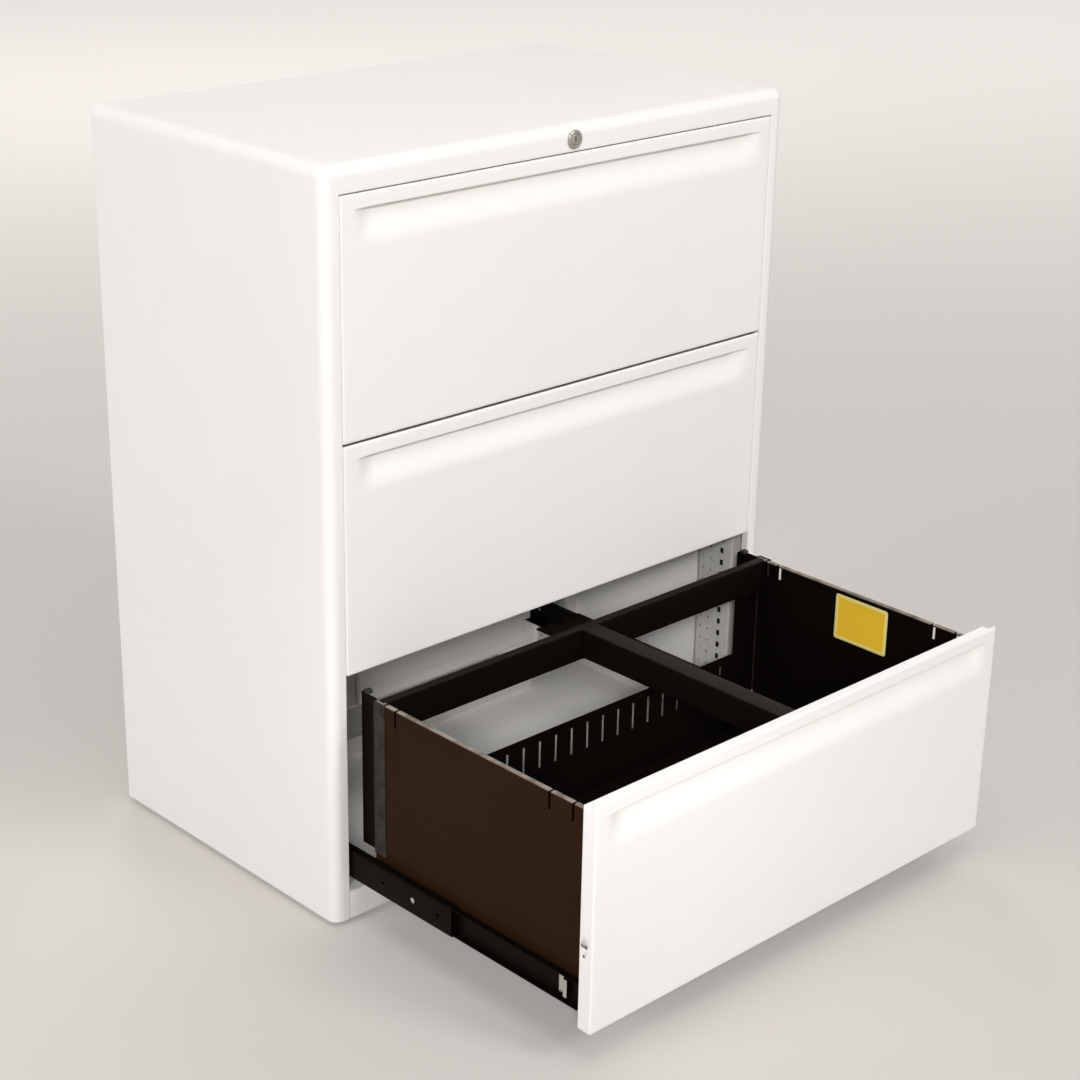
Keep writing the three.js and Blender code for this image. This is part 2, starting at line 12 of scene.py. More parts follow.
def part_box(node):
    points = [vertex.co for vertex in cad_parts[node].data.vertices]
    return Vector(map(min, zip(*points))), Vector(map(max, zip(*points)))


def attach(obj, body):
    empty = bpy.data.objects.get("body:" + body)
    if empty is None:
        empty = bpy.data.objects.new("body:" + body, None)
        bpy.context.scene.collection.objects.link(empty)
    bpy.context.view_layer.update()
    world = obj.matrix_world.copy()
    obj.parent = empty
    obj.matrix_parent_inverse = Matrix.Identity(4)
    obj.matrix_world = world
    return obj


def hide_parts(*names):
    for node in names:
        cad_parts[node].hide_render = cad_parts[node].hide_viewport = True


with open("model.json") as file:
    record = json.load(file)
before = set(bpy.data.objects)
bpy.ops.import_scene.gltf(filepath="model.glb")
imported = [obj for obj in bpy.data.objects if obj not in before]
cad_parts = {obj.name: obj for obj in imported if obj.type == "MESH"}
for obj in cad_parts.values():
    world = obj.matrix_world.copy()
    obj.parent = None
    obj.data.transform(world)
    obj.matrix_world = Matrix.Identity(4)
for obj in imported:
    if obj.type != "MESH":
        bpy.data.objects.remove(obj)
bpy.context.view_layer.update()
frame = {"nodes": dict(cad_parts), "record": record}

MM = 0.001
DRAWERS = ("bottom", "middle", "top")
SIDES = {"left": -1, "right": 1}
ENDS = ("front", "rear")


def node_box(name):
    """Lowest and highest corner of a CAD node at rest, in millimetres."""
    low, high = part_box(name)
    return np.array(low) / MM, np.array(high) / MM


# Sizes of the case, from its CAD nodes and from the part's driving dimensions
panel_low, panel_high = node_box("left_side_panel")
cap_low, cap_high = node_box("top_panel")
bezel_low, bezel_high = node_box("lock_housing")
CASE_HALF = -panel_low[0]
CASE_FRONT = panel_low[1]
PANEL_BACK = panel_high[1]
CASE_FOOT = panel_low[2]
BAY_TOP = cap_low[2]
CASE_TOP = cap_high[2]
STILE_WIDTH = 25
OPENING_HALF = CASE_HALF - STILE_WIDTH
EDGE_RADIUS = 15
ROUND_STEPS = 10
STILE_LIP = 12
RAIL_LIP = 20
LIP_FOLD = 1.6
LOCK_HOLE_HALF = 7.7
LOCK_HEIGHT = (bezel_low[2] + bezel_high[2]) / 2

# Sheets, their bends and cut edges, and the gap between sheets that are welded together
CASE_SHEET = 1
DRAWER_SHEET = 1
HEAVY_SHEET = 1.5
SHEET_FOLD = 1.8
HEAVY_FOLD = 2.5
FOLD_STEPS = 5
CUT_EDGE = 0.2
SEAM = 0.3


# Mesh helpers

def smooth(share):
    """Smooth step: nought up to nought, one from one, and level at both ends."""
    share = np.clip(share, 0, 1)
    return share * share * (3 - 2 * share)


def evenly(count, pitch):
    """A row of so many places at a pitch, centred on nought."""
    return (np.arange(count) - (count - 1) / 2) * pitch


def circle(steps):
    """Evenly spaced points of a unit circle, as cosine and sine."""
    angle = 2 * np.pi * np.arange(steps) / steps
    return np.stack([np.cos(angle), np.sin(angle)], -1)


def outer_face(low, high):
    """x of a piece's outer face, as drawn for the left side."""
    return -max(-low[0], high[0])


def inner_face(low, high):
    """x of a piece's inner face, as drawn for the left side."""
    return -min(abs(low[0]), abs(high[0]))


def on_side(side, corners):
    """Corners drawn for the left side, or their mirror image run backwards for the right side."""
    if side < 0:
        return corners
    return [(-across, up) for across, up in reversed(corners)]


def grid_faces(rows, columns, wrap=False):
    """Quads between neighbouring rows and columns, facing rows cross columns. With wrap the last
    column meets the first."""
    index = np.arange(rows * columns).reshape(rows, columns)
    if wrap:
        index = np.hstack([index, index[:, :1]])
    corners = index[:-1, :-1], index[1:, :-1], index[1:, 1:], index[:-1, 1:]
    return np.stack(corners, -1).reshape(-1, 4)


def kept_cells(rows, columns, rects):
    """Mask of the cells between grid lines, without those inside a rectangle (row, row, column,
    column)."""
    row_middle = (rows[:-1] + rows[1:]) / 2
    column_middle = (columns[:-1] + columns[1:]) / 2
    keep = np.ones((len(row_middle), len(column_middle)), bool)
    for row_low, row_high, column_low, column_high in rects:
        in_rows = (row_middle > row_low) & (row_middle < row_high)
        in_columns = (column_middle > column_low) & (column_middle < column_high)
        keep &= ~(in_rows[:, None] & in_columns)
    return keep


WELD_DIGITS = 3


def merged(patches):
    """One mesh from patches of (vertices, quads): vertices at one place become one, and a quad that
    loses a corner by that becomes a triangle."""
    counts = np.cumsum([0] + [len(vertices) for vertices, _ in patches])
    vertices = np.vstack([vertices for vertices, _ in patches])
    quads = np.vstack([faces + start for (_, faces), start in zip(patches, counts)])
    _, first, place = np.unique(
        np.round(vertices, WELD_DIGITS), axis=0, return_index=True, return_inverse=True
    )
    quads = place.reshape(-1)[quads]
    differs = quads != np.roll(quads, -1, axis=1)
    corners = differs.sum(1)
    triangles = quads[corners == 3][differs[corners == 3]].reshape(-1, 3)
    return vertices[first], quads[corners == 4].tolist() + triangles.tolist()


def patch(points, flip=False, keep=None, wrap=False):
    """A grid of points as (vertices, quads). Keep is a mask of the cells that stay."""
    rows, columns = points.shape[:2]
    faces = grid_faces(rows, columns, wrap)
    if keep is not None:
        faces = faces[keep.reshape(-1)]
    if flip:
        faces = faces[:, ::-1]
    return points.reshape(-1, 3), faces


def looped(loops):
    """A shape from loops of points, each closed on itself and joined to the next."""
    return merged([patch(np.stack(loops), flip=True, wrap=True)])


def lathe(profile, centre, axis, steps):
    """A profile of (radius, height), drawn from the foot up the outside, turned round an axis through
    the centre: at angle a, a point lies radius cos a and radius sin a off the axis, and height along
    it."""
    radius, height = np.asarray(profile, float).T
    axis = Vector(axis).normalized()
    first = axis.orthogonal().normalized()
    second = axis.cross(first)
    cosine, sine = circle(steps).T
    points = np.array(centre) + height[:, None, None] * np.array(axis)
    points = points + (radius[:, None] * cosine)[:, :, None] * np.array(first)
    points = points + (radius[:, None] * sine)[:, :, None] * np.array(second)
    return looped(points)


def fold(corners, radius):
    """A line through the corners in which each inner corner gives way to an arc. The arc begins and
    ends radius times the tangent of half the turn from the corner, and its points swing evenly from
    one end to the other about its centre."""
    corners = np.asarray(corners, float)
    legs = np.diff(corners, axis=0)
    along = legs / np.linalg.norm(legs, axis=1, keepdims=True)
    before, after = along[:-1], along[1:]
    turn = np.arccos(np.clip((before * after).sum(1), -1, 1))[:, None]
    reach = radius * np.tan(turn / 2)
    start = corners[1:-1] - before * reach
    end = corners[1:-1] + after * reach
    inward = after - before
    inward /= np.linalg.norm(inward, axis=1, keepdims=True)
    centre = corners[1:-1] + inward * radius / np.cos(turn / 2)
    share = np.linspace(0, 1, FOLD_STEPS + 1)[None, :, None]
    turn = turn[:, :, None]
    swing = np.sin((1 - share) * turn) * (start - centre)[:, None]
    swing = swing + np.sin(share * turn) * (end - centre)[:, None]
    arcs = centre[:, None] + swing / np.sin(turn)
    return np.vstack([corners[:1], arcs.reshape(-1, 2), corners[-1:]])


# Where (line, line, span) go in (x, y, z), by the axis of the span
AXIS_ORDER = {"x": (2, 0, 1), "y": (0, 2, 1), "z": (0, 1, 2)}
GRID_DIGITS = 4
# Steps in a quarter of a hole, and its square cell's half side as a share of its radius
HOLE_QUARTER = 4
HOLE_MARGIN = 1.35


def sheet(corners, bend, axis, span, windows=(), punches=()):
    """A bent sheet. Rows follow the line folded through the corners by its length u, drawn in (y, z),
    (x, z) or (x, y), and columns run straight along the axis by v. A window (point, point, v, v) leaves
    out the cells between two points of the line. A punch (point, v, radius) is a round hole in a square
    cell of its own, whose ring joins the cell's corners to the circle. The face is the line's right
    side."""
    line = fold(corners, bend)
    legs = np.diff(line, axis=0)
    steps = np.linalg.norm(legs, axis=1)
    lengths = np.concatenate([[0], np.cumsum(steps)])

    def reach(point):
        """Length u of the place on the line that is nearest to the point."""
        share = np.clip(((point - line[:-1]) * legs).sum(1) / steps**2, 0, 1)
        away = np.linalg.norm(line[:-1] + legs * share[:, None] - point, axis=1)
        nearest = away.argmin()
        return lengths[nearest] + share[nearest] * steps[nearest]

    cuts = [(*sorted((reach(a), reach(b))), v0, v1) for a, b, v0, v1 in windows]
    holes = np.array([(reach(point), v, radius) for point, v, radius in punches]).reshape(-1, 3)
    cells = holes[:, [0, 0, 1, 1]] + HOLE_MARGIN * holes[:, 2:] * [-1, 1, -1, 1]
    cells = np.round(cells, GRID_DIGITS)
    rects = np.vstack([np.array(cuts).reshape(-1, 4), cells])
    u_lines = np.unique(np.round(np.concatenate([lengths, rects[:, :2].ravel()]), GRID_DIGITS))
    v_lines = np.unique(np.round(np.concatenate([span, rects[:, 2:].ravel()]), GRID_DIGITS))
    u_grid, v_grid = np.meshgrid(u_lines, v_lines, indexing="ij")
    solid = kept_cells(u_lines, v_lines, rects)
    faces = grid_faces(len(u_lines), len(v_lines))[solid.ravel()].tolist()

    corner_u = np.searchsorted(u_lines, cells[:, :2])
    corner_v = np.searchsorted(v_lines, cells[:, 2:])
    square = corner_u[:, [0, 1, 1, 0]] * len(v_lines) + corner_v[:, [0, 0, 1, 1]]
    # A hole's points start towards its cell's first corner, and each quarter ends towards the next
    ring_points = 4 * HOLE_QUARTER
    angle = -0.75 * np.pi + 2 * np.pi * np.arange(ring_points) / ring_points
    ring_u = holes[:, :1] + holes[:, 2:] * np.cos(angle)
    ring_v = holes[:, 1:2] + holes[:, 2:] * np.sin(angle)
    ring = u_grid.size + np.arange(ring_u.size).reshape(-1, ring_points)
    for quarter in range(4):
        arc = np.arange((quarter + 1) * HOLE_QUARTER, quarter * HOLE_QUARTER - 1, -1) % ring_points
        outer = square[:, [quarter, (quarter + 1) % 4]]
        faces += np.hstack([outer, ring[:, arc]]).tolist()

    u = np.concatenate([u_grid.ravel(), ring_u.ravel()])
    v = np.concatenate([v_grid.ravel(), ring_v.ravel()])
    place = np.stack([np.interp(u, lengths, line[:, 0]), np.interp(u, lengths, line[:, 1]), v], -1)
    if axis == "y":
        faces = [face[::-1] for face in faces]
    return place[:, AXIS_ORDER[axis]], faces


# Materials

def linear(code):
    """Linear colour with full opacity from an sRGB hex code such as F2EEE8."""
    parts = [int(code[i:i + 2], 16) / 255 for i in (0, 2, 4)]
    return [c / 12.92 if c <= 0.04045 else ((c + 0.055) / 1.055) ** 2.4 for c in parts] + [1]


def feed(node, inputs):
    """Fills a node's inputs: a socket is linked, and any other value is set."""
    for name, value in inputs.items():
        if isinstance(value, bpy.types.NodeSocket):
            node.id_data.links.new(value, node.inputs[name])
        else:
            node.inputs[name].default_value = value


def add_node(tree, kind, inputs, **settings):
    """Adds one node with its settings and inputs, and returns its outputs."""
    made = tree.nodes.new("ShaderNode" + kind)
    for key, value in settings.items():
        setattr(made, key, value)
    feed(made, inputs)
    return made.outputs


def new_material(name):
    """A new node material, its tree, its shader, and its Object coordinates."""
    material = bpy.data.materials.new(name)
    material.use_nodes = True
    tree = material.node_tree
    return material, tree, tree.nodes["Principled BSDF"], add_node(tree, "TexCoord", {})["Object"]


def per_metre(size):
    """Pattern scale whose features are about this many millimetres across."""
    return 1 / (size * MM)


def mottle(shader, spots, pale, deep, rough=None):
    """Lets the colour wander between two near tones by a pattern of spots, and the gloss between two
    roughnesses with it. Returns the tone."""
    tree = shader.id_data
    inputs = {"Factor": spots, "A": linear(pale), "B": linear(deep)}
    tone = add_node(tree, "Mix", inputs, data_type="RGBA")["Result"]
    feed(shader, {"Base Color": tone})
    if rough:
        gloss = add_node(tree, "MapRange", {"Value": spots, "To Min": rough[0], "To Max": rough[1]})
        feed(shader, {"Roughness": gloss["Result"]})
    return tone


# Sizes of the patterns: patches of a coat, streaks of the painted highlight, zinc crystals, a mould's
# grain and fibres
COAT_PATCH = 140
HIGHLIGHT_STREAK = 18
ZINC_CRYSTAL = 9
MOULD_GRAIN = 1.2
PAPER_FIBRE = 3
# Pale tone of the painted highlight, where its streaks begin and end, and their faintest share
HIGHLIGHT_TONE = "A69C92"
STREAK_ENDS = (0.35, 0.65)
STREAK_LEAST = 0.45


def coated_steel(name, pale, deep, rough, peel, peel_height, gloss_level, gloss_tint):
    """Sprayed and baked coat on steel: two near colours in broad soft patches, gloss that wanders a
    little with them, and an orange peel of small round hills. Where the piece's rubbed attribute rises,
    a pale tone is painted in streaks, a painted highlight that stands in for the shine of an edge."""
    material, tree, shader, place = new_material(name)
    broad = add_node(tree, "TexNoise", {"Vector": place, "Scale": per_metre(COAT_PATCH), "Detail": 3})
    tone = mottle(shader, broad["Fac"], pale, deep, rough)
    # Painted highlight: a pale tone mixed in by the piece's attribute, in streaks
    painted_highlight = add_node(tree, "Attribute", {}, attribute_name="painted_highlight")["Fac"]
    noise = add_node(tree, "TexNoise", {"Vector": place, "Scale": per_metre(HIGHLIGHT_STREAK), "Detail": 4})
    ends = {"From Min": STREAK_ENDS[0], "From Max": STREAK_ENDS[1], "To Min": STREAK_LEAST}
    streaks = add_node(tree, "MapRange", {"Value": noise["Fac"], **ends})["Result"]
    highlight_share = add_node(tree, "Math", {0: painted_highlight, 1: streaks}, operation="MULTIPLY")["Value"]
    layers = {"Factor": highlight_share, "A": tone, "B": linear(HIGHLIGHT_TONE)}
    with_highlight = add_node(tree, "Mix", layers, data_type="RGBA")["Result"]
    hills = add_node(tree, "TexNoise", {"Vector": place, "Scale": per_metre(peel), "Detail": 2})["Fac"]
    bump = add_node(tree, "Bump", {"Height": hills, "Strength": 0.5, "Distance": peel_height * MM})
    feed(shader, {"Base Color": with_highlight, "Normal": bump["Normal"], "IOR": 1.5})
    feed(shader, {"Specular IOR Level": gloss_level, "Specular Tint": linear(gloss_tint)})
    return material


# White powder coat: warm white, soft sheen, an orange peel of about 2.5 mm
WHITE_COAT = coated_steel(
    "white powder coat", "F7F4F1", "F3F0EC", rough=(0.40, 0.48),
    peel=2.5, peel_height=0.02, gloss_level=0.35, gloss_tint="FFFFFF",
)
# Black powder coat on rails, trays and the insides of the drawer walls: deep and dull, with a warm
# gloss tint that is a painted reflection of a wooden floor
BLACK_COAT = coated_steel(
    "black powder coat", "0F0B09", "0A0706", rough=(0.42, 0.52),
    peel=1.6, peel_height=0.02, gloss_level=0.1, gloss_tint="E8C8A8",
)
# Black powder coat on the outside of the drawer walls, satin: its brown colour and brown gloss tint
# are a painted reflection of a wooden floor, while the walls' insides take the plain black coat
WALL_COAT_PAINTED_SHEEN = coated_steel(
    "black powder coat with painted brown sheen", "2B1B0F", "24160C", rough=(0.38, 0.48),
    peel=1.6, peel_height=0.02, gloss_level=0.05, gloss_tint="DCA070",
)
# Black electro-coat on the slides: thin, smooth and deeper than powder, with a warm gloss tint that
# is a painted reflection of a wooden floor
SLIDE_COAT = coated_steel(
    "black electro-coat", "0D0A08", "090706", rough=(0.34, 0.44),
    peel=3.0, peel_height=0.006, gloss_level=0.05, gloss_tint="E8C8A8",
)


def zinc_sheet():
    """Hot-dip galvanised sheet: pale grey with frost-like crystals that differ a little in tone and
    gloss."""
    material, tree, shader, place = new_material("galvanised sheet steel")
    spread = {"Vector": place, "Scale": per_metre(ZINC_CRYSTAL), "Randomness": 1}
    crystals = add_node(tree, "TexVoronoi", spread)["Color"]
    mottle(shader, crystals, "DEDBD5", "D2CFC8", (0.42, 0.58))
    feed(shader, {"Metallic": 0.2})
    return material


def bright_metal(name, pale, deep, rough, grain):
    """Plated metal: polishing marks as small spots in tone and gloss, drawn coarser than the real ones
    so that they show."""
    material, tree, shader, place = new_material(name)
    marks = add_node(tree, "TexNoise", {"Vector": place, "Scale": per_metre(grain), "Detail": 4})
    mottle(shader, marks["Fac"], pale, deep, rough)
    feed(shader, {"Metallic": 1})
    return material


def moulded_nylon():
    """Moulded black nylon: dull, with the grain of a spark-eroded mould in its bump, drawn coarser than
    the real one so that it shows."""
    material, tree, shader, place = new_material("moulded black nylon")
    spread = {"Vector": place, "Scale": per_metre(MOULD_GRAIN), "Detail": 3}
    grain = add_node(tree, "TexNoise", spread)["Fac"]
    mottle(shader, grain, "1E1E1F", "151516")
    bump = add_node(tree, "Bump", {"Height": grain, "Strength": 0.6, "Distance": 0.03 * MM})
    feed(shader, {"Normal": bump["Normal"], "Roughness": 0.55, "IOR": 1.53})
    return material


def label_paper():
    """Blank coated paper: yellow with a faint mottle of its fibres in colour and gloss, drawn coarser
    than real fibres so that it shows, and a paler border where the piece's border value is one."""
    material, tree, shader, place = new_material("yellow coated paper")
    spread = {"Vector": place, "Scale": per_metre(PAPER_FIBRE), "Detail": 5}
    fibres = add_node(tree, "TexNoise", spread)["Fac"]
    tone = mottle(shader, fibres, "FFD23C", "F8C52E", (0.4, 0.6))
    border = add_node(tree, "Attribute", {}, attribute_name="border")["Fac"]
    layers = {"Factor": border, "A": tone, "B": linear("FBE98F")}
    paper = add_node(tree, "Mix", layers, data_type="RGBA")["Result"]
    feed(shader, {"Base Color": paper, "IOR": 1.48})
    return material


# Bright zinc on rivets, stops and stems: pale, with clear reflections
RIVET_ZINC = bright_metal("bright zinc plate", "D8D6D0", "C2C0BA", (0.20, 0.34), 0.8)
# The finish of each material slot; satin nickel on the lock is a warm grey with soft reflections
FINISHES = {
    "white_powder_coat": WHITE_COAT,
    "black_powder_coat": BLACK_COAT,
    "black_slide_coat": SLIDE_COAT,
    "galvanised_steel": zinc_sheet(),
    "nickel_lock": bright_metal("satin nickel plate", "B8B5B0", "A09D98", (0.24, 0.36), 1.2),
    "black_nylon": moulded_nylon(),
}


# Finished pieces

SHARP_ANGLE = math.radians(40)


def make_piece(
    name, mesh_data, body, slot=None, stands_for=(), finish=None, lining=None,
    shift=(0, 0, 0), wall=0, edge=0, shades=(),
):
    """A finished piece in the scene: its mesh in metres, its wall to the inside of the face, its cut
    edges broken, riding on its body and standing for its CAD nodes. Its finish is that of its slot
    unless another is given, a lining is the inside's own finish, and shades are pairs of a name and its
    values by vertex, which the finish reads."""
    vertices, faces = mesh_data
    mesh = bpy.data.meshes.new(name)
    mesh.from_pydata(((vertices + np.array(shift)) * MM).tolist(), [], faces)
    for shade, values in shades:
        mesh.attributes.new(shade, "FLOAT", "POINT").data.foreach_set("value", values)
    mesh.polygons.foreach_set("use_smooth", np.ones(len(mesh.polygons), bool))
    mesh.set_sharp_from_angle(angle=SHARP_ANGLE)
    mesh.materials.append(finish or FINISHES[slot])
    made = bpy.data.objects.new(name, mesh)
    bpy.context.collection.objects.link(made)
    if wall:
        solidify = made.modifiers.new("wall", "SOLIDIFY")
        solidify.thickness = wall * MM
        solidify.offset = -1
        solidify.use_even_offset = True
        if lining:
            mesh.materials.append(lining)
            solidify.material_offset = 1
    if edge:
        bevel = made.modifiers.new("edge", "BEVEL")
        bevel.width = edge * MM
        bevel.segments = 2
        bevel.limit_method = "ANGLE"
        bevel.angle_limit = SHARP_ANGLE
        bevel.harden_normals = True
    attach(made, body)
    if stands_for:
        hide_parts(*stands_for)


# Case

# Grid lines of the shell up a side, across half the top, and from the back to the front round
SHELL_UP, SHELL_ACROSS, SHELL_DEEP = 14, 12, 8
# How far from the lock the top's even lines end, and the share of a front flat beside its edges
LOCK_CLEAR = 30
STILE_MARGIN = 0.15
SHELL_EDGE = 0.25


def case_shell():
    """The welded side panels and top as one skin. Columns run up the left side, round the upper left
    corner, across the top and down the right side; rows run from the back to the front edge, round a
    quarter circle on to the front plane, in to the edge of the opening, and back along its lip. At
    the upper corners both rounds meet in an eighth of a ball."""
    up = np.linspace(CASE_FOOT, BAY_TOP, SHELL_UP)
    turn = np.linspace(np.pi, np.pi / 2, ROUND_STEPS + 1)
    over = np.linspace(-OPENING_HALF, -LOCK_CLEAR, SHELL_ACROSS)
    over = np.concatenate([over, [-LOCK_HOLE_HALF, 0]])
    centre = np.array([-CASE_HALF + EDGE_RADIUS, CASE_TOP - EDGE_RADIUS])
    swing = np.stack([np.cos(turn), np.sin(turn)], -1)

    def spread(value, count):
        """The same value in so many rows."""
        return np.tile(value, (count, 1)).astype(float)

    def path(half, top, corner):
        """Up at one half width, round the corner's points, and across at one height."""
        rise = np.stack([np.full(len(up), -half), up], -1)
        return np.vstack([rise, corner, np.stack([over, np.full(len(over), top)], -1)])

    def both(values):
        """The left half, and its mirror image run backwards for the right half."""
        return np.vstack([values, (values * (-1, 1))[-2::-1]])

    def row(plane, y):
        """Points of (x, z) set at a depth of y."""
        return np.stack([plane[:, 0], np.broadcast_to(y, len(plane)), plane[:, 1]], -1)

    outline = both(path(CASE_HALF, CASE_TOP, centre + EDGE_RADIUS * swing))
    outward = both(np.vstack([spread((-1, 0), len(up)), swing, spread((0, 1), len(over))]))
    opening = both(path(OPENING_HALF, BAY_TOP, spread((-OPENING_HALF, BAY_TOP), len(turn))))
    mitre = [((-1, 0), len(up) - 1), ((-1, 1), len(turn) + 2), ((0, 1), len(over) - 1)]
    mitre = both(np.vstack([spread(*part) for part in mitre]))
    lip = np.repeat([STILE_LIP, RAIL_LIP], [len(up) + len(turn), len(over)])
    lip = np.concatenate([lip, lip[-2::-1]])

    rows = [row(outline, y) for y in np.linspace(PANEL_BACK, CASE_FRONT + EDGE_RADIUS, SHELL_DEEP)]
    for angle in np.linspace(0, np.pi / 2, ROUND_STEPS + 1)[1:]:
        drawn_in = outline - outward * EDGE_RADIUS * (1 - math.cos(angle))
        rows.append(row(drawn_in, CASE_FRONT + EDGE_RADIUS * (1 - math.sin(angle))))
    flat_start = outline - outward * EDGE_RADIUS
    flat_end = opening + mitre * LIP_FOLD
    rail_top, rail_foot = CASE_TOP - EDGE_RADIUS, BAY_TOP + LIP_FOLD
    hole_foot = (rail_top - LOCK_HEIGHT + LOCK_HOLE_HALF) / (rail_top - rail_foot)
    for share in (STILE_MARGIN, hole_foot, 1 - STILE_MARGIN, 1):
        rows.append(row(flat_start + (flat_end - flat_start) * share, CASE_FRONT))
    for angle in np.linspace(0, np.pi / 2, FOLD_STEPS + 1)[1:]:
        edge = opening + mitre * LIP_FOLD * (1 - math.sin(angle))
        rows.append(row(edge, CASE_FRONT + LIP_FOLD * (1 - math.cos(angle))))
    rows.append(row(opening, CASE_FRONT + lip))
    points = np.stack(rows)
    middle = (points[:-1, :-1] + points[1:, 1:]) / 2
    in_hole = (np.abs(middle[..., 0]) < LOCK_HOLE_HALF) & (middle[..., 1] < CASE_FRONT + EDGE_RADIUS)
    in_hole &= np.abs(middle[..., 2] - LOCK_HEIGHT) < LOCK_HOLE_HALF
    return merged([patch(points, keep=~in_hole)])


make_piece(
    "case_shell", case_shell(), "case", "white_powder_coat",
    ("left_side_panel", "right_side_panel", "top_panel"), wall=CASE_SHEET, edge=SHELL_EDGE,
)


# Drawer fronts: y from the face, z from the foot

FRONT_SHEET = 1
FRONT_FOLD = 2.6
FRONT_FLANGE = 25
EDGE_SHARES = np.array([0, 0.16, 0.36, 0.64, 1.0])
PULL_LIP = 19
PULL_DEPTH = 9
PULL_HEIGHT = 46
PULL_END = 18
PULL_RAMP = 34
PULL_INNER_FILLET = 3.5
PULL_LIP_FILLET = 1.8
PULL_LIP_RISE = 0.4
RIM_WIDTH = 3.2
RIM_SLOPE = 1.6
RIM_DROP = 6
RIM_FADE = 16
# Slot and hole in a side return, from y to y and from z to z
RETURN_CUTS = ((8, 19, 112.5, 117.5), (12, 16, 99.5, 103.5))
# Grid lines on the flat, the scoop, a fillet, the ramp at an end and the rim's slope
FLAT_LINES, SCOOP_LINES, FILLET_LINES, RAMP_LINES, SLOPE_LINES = 14, 19, 7, 14, 7
# Distances of the flat's first and last line from the foot and the scoop, of the lines above the lip
# from it and from the top fold, and of a line beside the end
FLAT_MARGINS = (6, 1)
LIP_MARGINS = (2, 4)
END_MARGIN = 8


def rounded(points, low, high, radius):
    """Points of a sharp box moved on to the same box with round edges: each point is drawn to radius
    from the nearest point of the box shrunk by radius."""
    inner = np.clip(points, np.array(low) + radius, np.array(high) - radius)
    away = points - inner
    return inner + away * radius / np.linalg.norm(away, axis=-1, keepdims=True)


def pull_profile(low, high):
    """Depth and height up the face: flat, then a scoop that deepens by the smooth step, a fillet, the
    underside of the lip, the lip's rounded edge, and flat again to the top."""
    lip = high - PULL_LIP
    foot = lip - PULL_HEIGHT
    inner = lip - PULL_INNER_FILLET
    fine = FRONT_FOLD * EDGE_SHARES
    marks = [z for _, _, *pair in RETURN_CUTS for z in pair]
    flat = np.linspace(low + FLAT_MARGINS[0], foot - FLAT_MARGINS[1], FLAT_LINES)
    flat = np.unique(np.concatenate([flat, marks]))
    share = np.linspace(0, 1, SCOOP_LINES)
    turn = np.linspace(0, np.pi / 2, FILLET_LINES)[1:]
    fillet_depth = PULL_DEPTH - PULL_INNER_FILLET * (1 - np.cos(turn))
    edge_height = lip + PULL_LIP_RISE + PULL_LIP_FILLET * (1 - np.cos(turn))
    above = np.array([edge_height[-1] + LIP_MARGINS[0], high - FRONT_FOLD - LIP_MARGINS[1]])
    runs = [
        (0 * fine, low + fine),
        (0 * flat, flat),
        (PULL_DEPTH * smooth(share), foot + (inner - foot) * share),
        (fillet_depth, inner + PULL_INNER_FILLET * np.sin(turn)),
        ([PULL_LIP_FILLET], [lip + PULL_LIP_RISE]),
        (PULL_LIP_FILLET * (1 - np.sin(turn)), edge_height),
        (0 * above, above),
        (0 * fine, (high - fine)[::-1]),
    ]
    depths, heights = zip(*runs)
    return np.concatenate(depths), np.concatenate(heights)


def dropped(points, high):
    """The pan's head lowered behind a narrow rim: a point sinks by RIM_DROP times the smooth step of
    its depth past RIM_WIDTH over RIM_SLOPE, in full at the top and not at all RIM_FADE below it."""
    near_top = np.clip((points[..., 2] - high + RIM_FADE) / RIM_FADE, 0, 1)
    sunk = points.copy()
    sunk[..., 2] -= RIM_DROP * smooth((points[..., 1] - RIM_WIDTH) / RIM_SLOPE) * near_top
    return sunk


def drawer_front(half, low, high, depth):
    """A folded pan: the face with its scooped pull, four returns, and a flange round the open back. All
    edges are rounded as on a box, the pull's depth fades out towards both ends, and the top return lies
    lower than the rim in front of it."""
    fine = FRONT_FOLD * EDGE_SHARES
    ramp = np.linspace(PULL_END, PULL_END + PULL_RAMP, RAMP_LINES)
    from_end = np.concatenate([fine, [END_MARGIN], ramp])
    inner = half - PULL_END - PULL_RAMP
    between = np.linspace(-inner, inner, SCOOP_LINES)[1:-1]
    across = np.concatenate([-half + from_end, between, (half - from_end)[::-1]])
    depths, heights = pull_profile(low, high)
    fade = smooth((half - PULL_END - np.abs(across)) / PULL_RAMP)
    marks = [y for *pair, _, _ in RETURN_CUTS for y in pair]
    slope = RIM_WIDTH + RIM_SLOPE * np.linspace(0, 1, SLOPE_LINES)
    lengths = [fine, slope, marks, depth - fine, depth + fine, [depth + FRONT_FLANGE]]
    lengths = np.unique(np.concatenate(lengths))
    lowest, highest = (-half, 0, low), (half, depth, high)

    def box_patch(points, flip, keep=None):
        return patch(dropped(rounded(points, lowest, highest, FRONT_FOLD), high), flip, keep)

    z_grid, x_grid = np.meshgrid(heights, across, indexing="ij")
    face = rounded(np.stack([x_grid, 0 * x_grid, z_grid], -1), lowest, highest, FRONT_FOLD)
    face[..., 1] += depths[:, None] * fade[None, :]
    patches = [patch(face, flip=True)]

    # The rows of a return run back to the pan's depth, and then in along the flange
    y = np.minimum(lengths, depth)[:, None]
    inset = np.maximum(lengths - depth, 0)[:, None]
    keep = kept_cells(lengths, heights, RETURN_CUTS)
    up = np.clip(heights, low + inset, high - inset)
    for side in SIDES.values():
        points = np.stack(np.broadcast_arrays(side * (half - inset), y, up), -1)
        patches.append(box_patch(points, side < 0, keep))
    along = np.clip(across, inset - half, half - inset)
    for level, flip in ((low + inset, False), (high - inset, True)):
        patches.append(box_patch(np.stack(np.broadcast_arrays(along, y, level), -1), flip))
    return merged(patches)


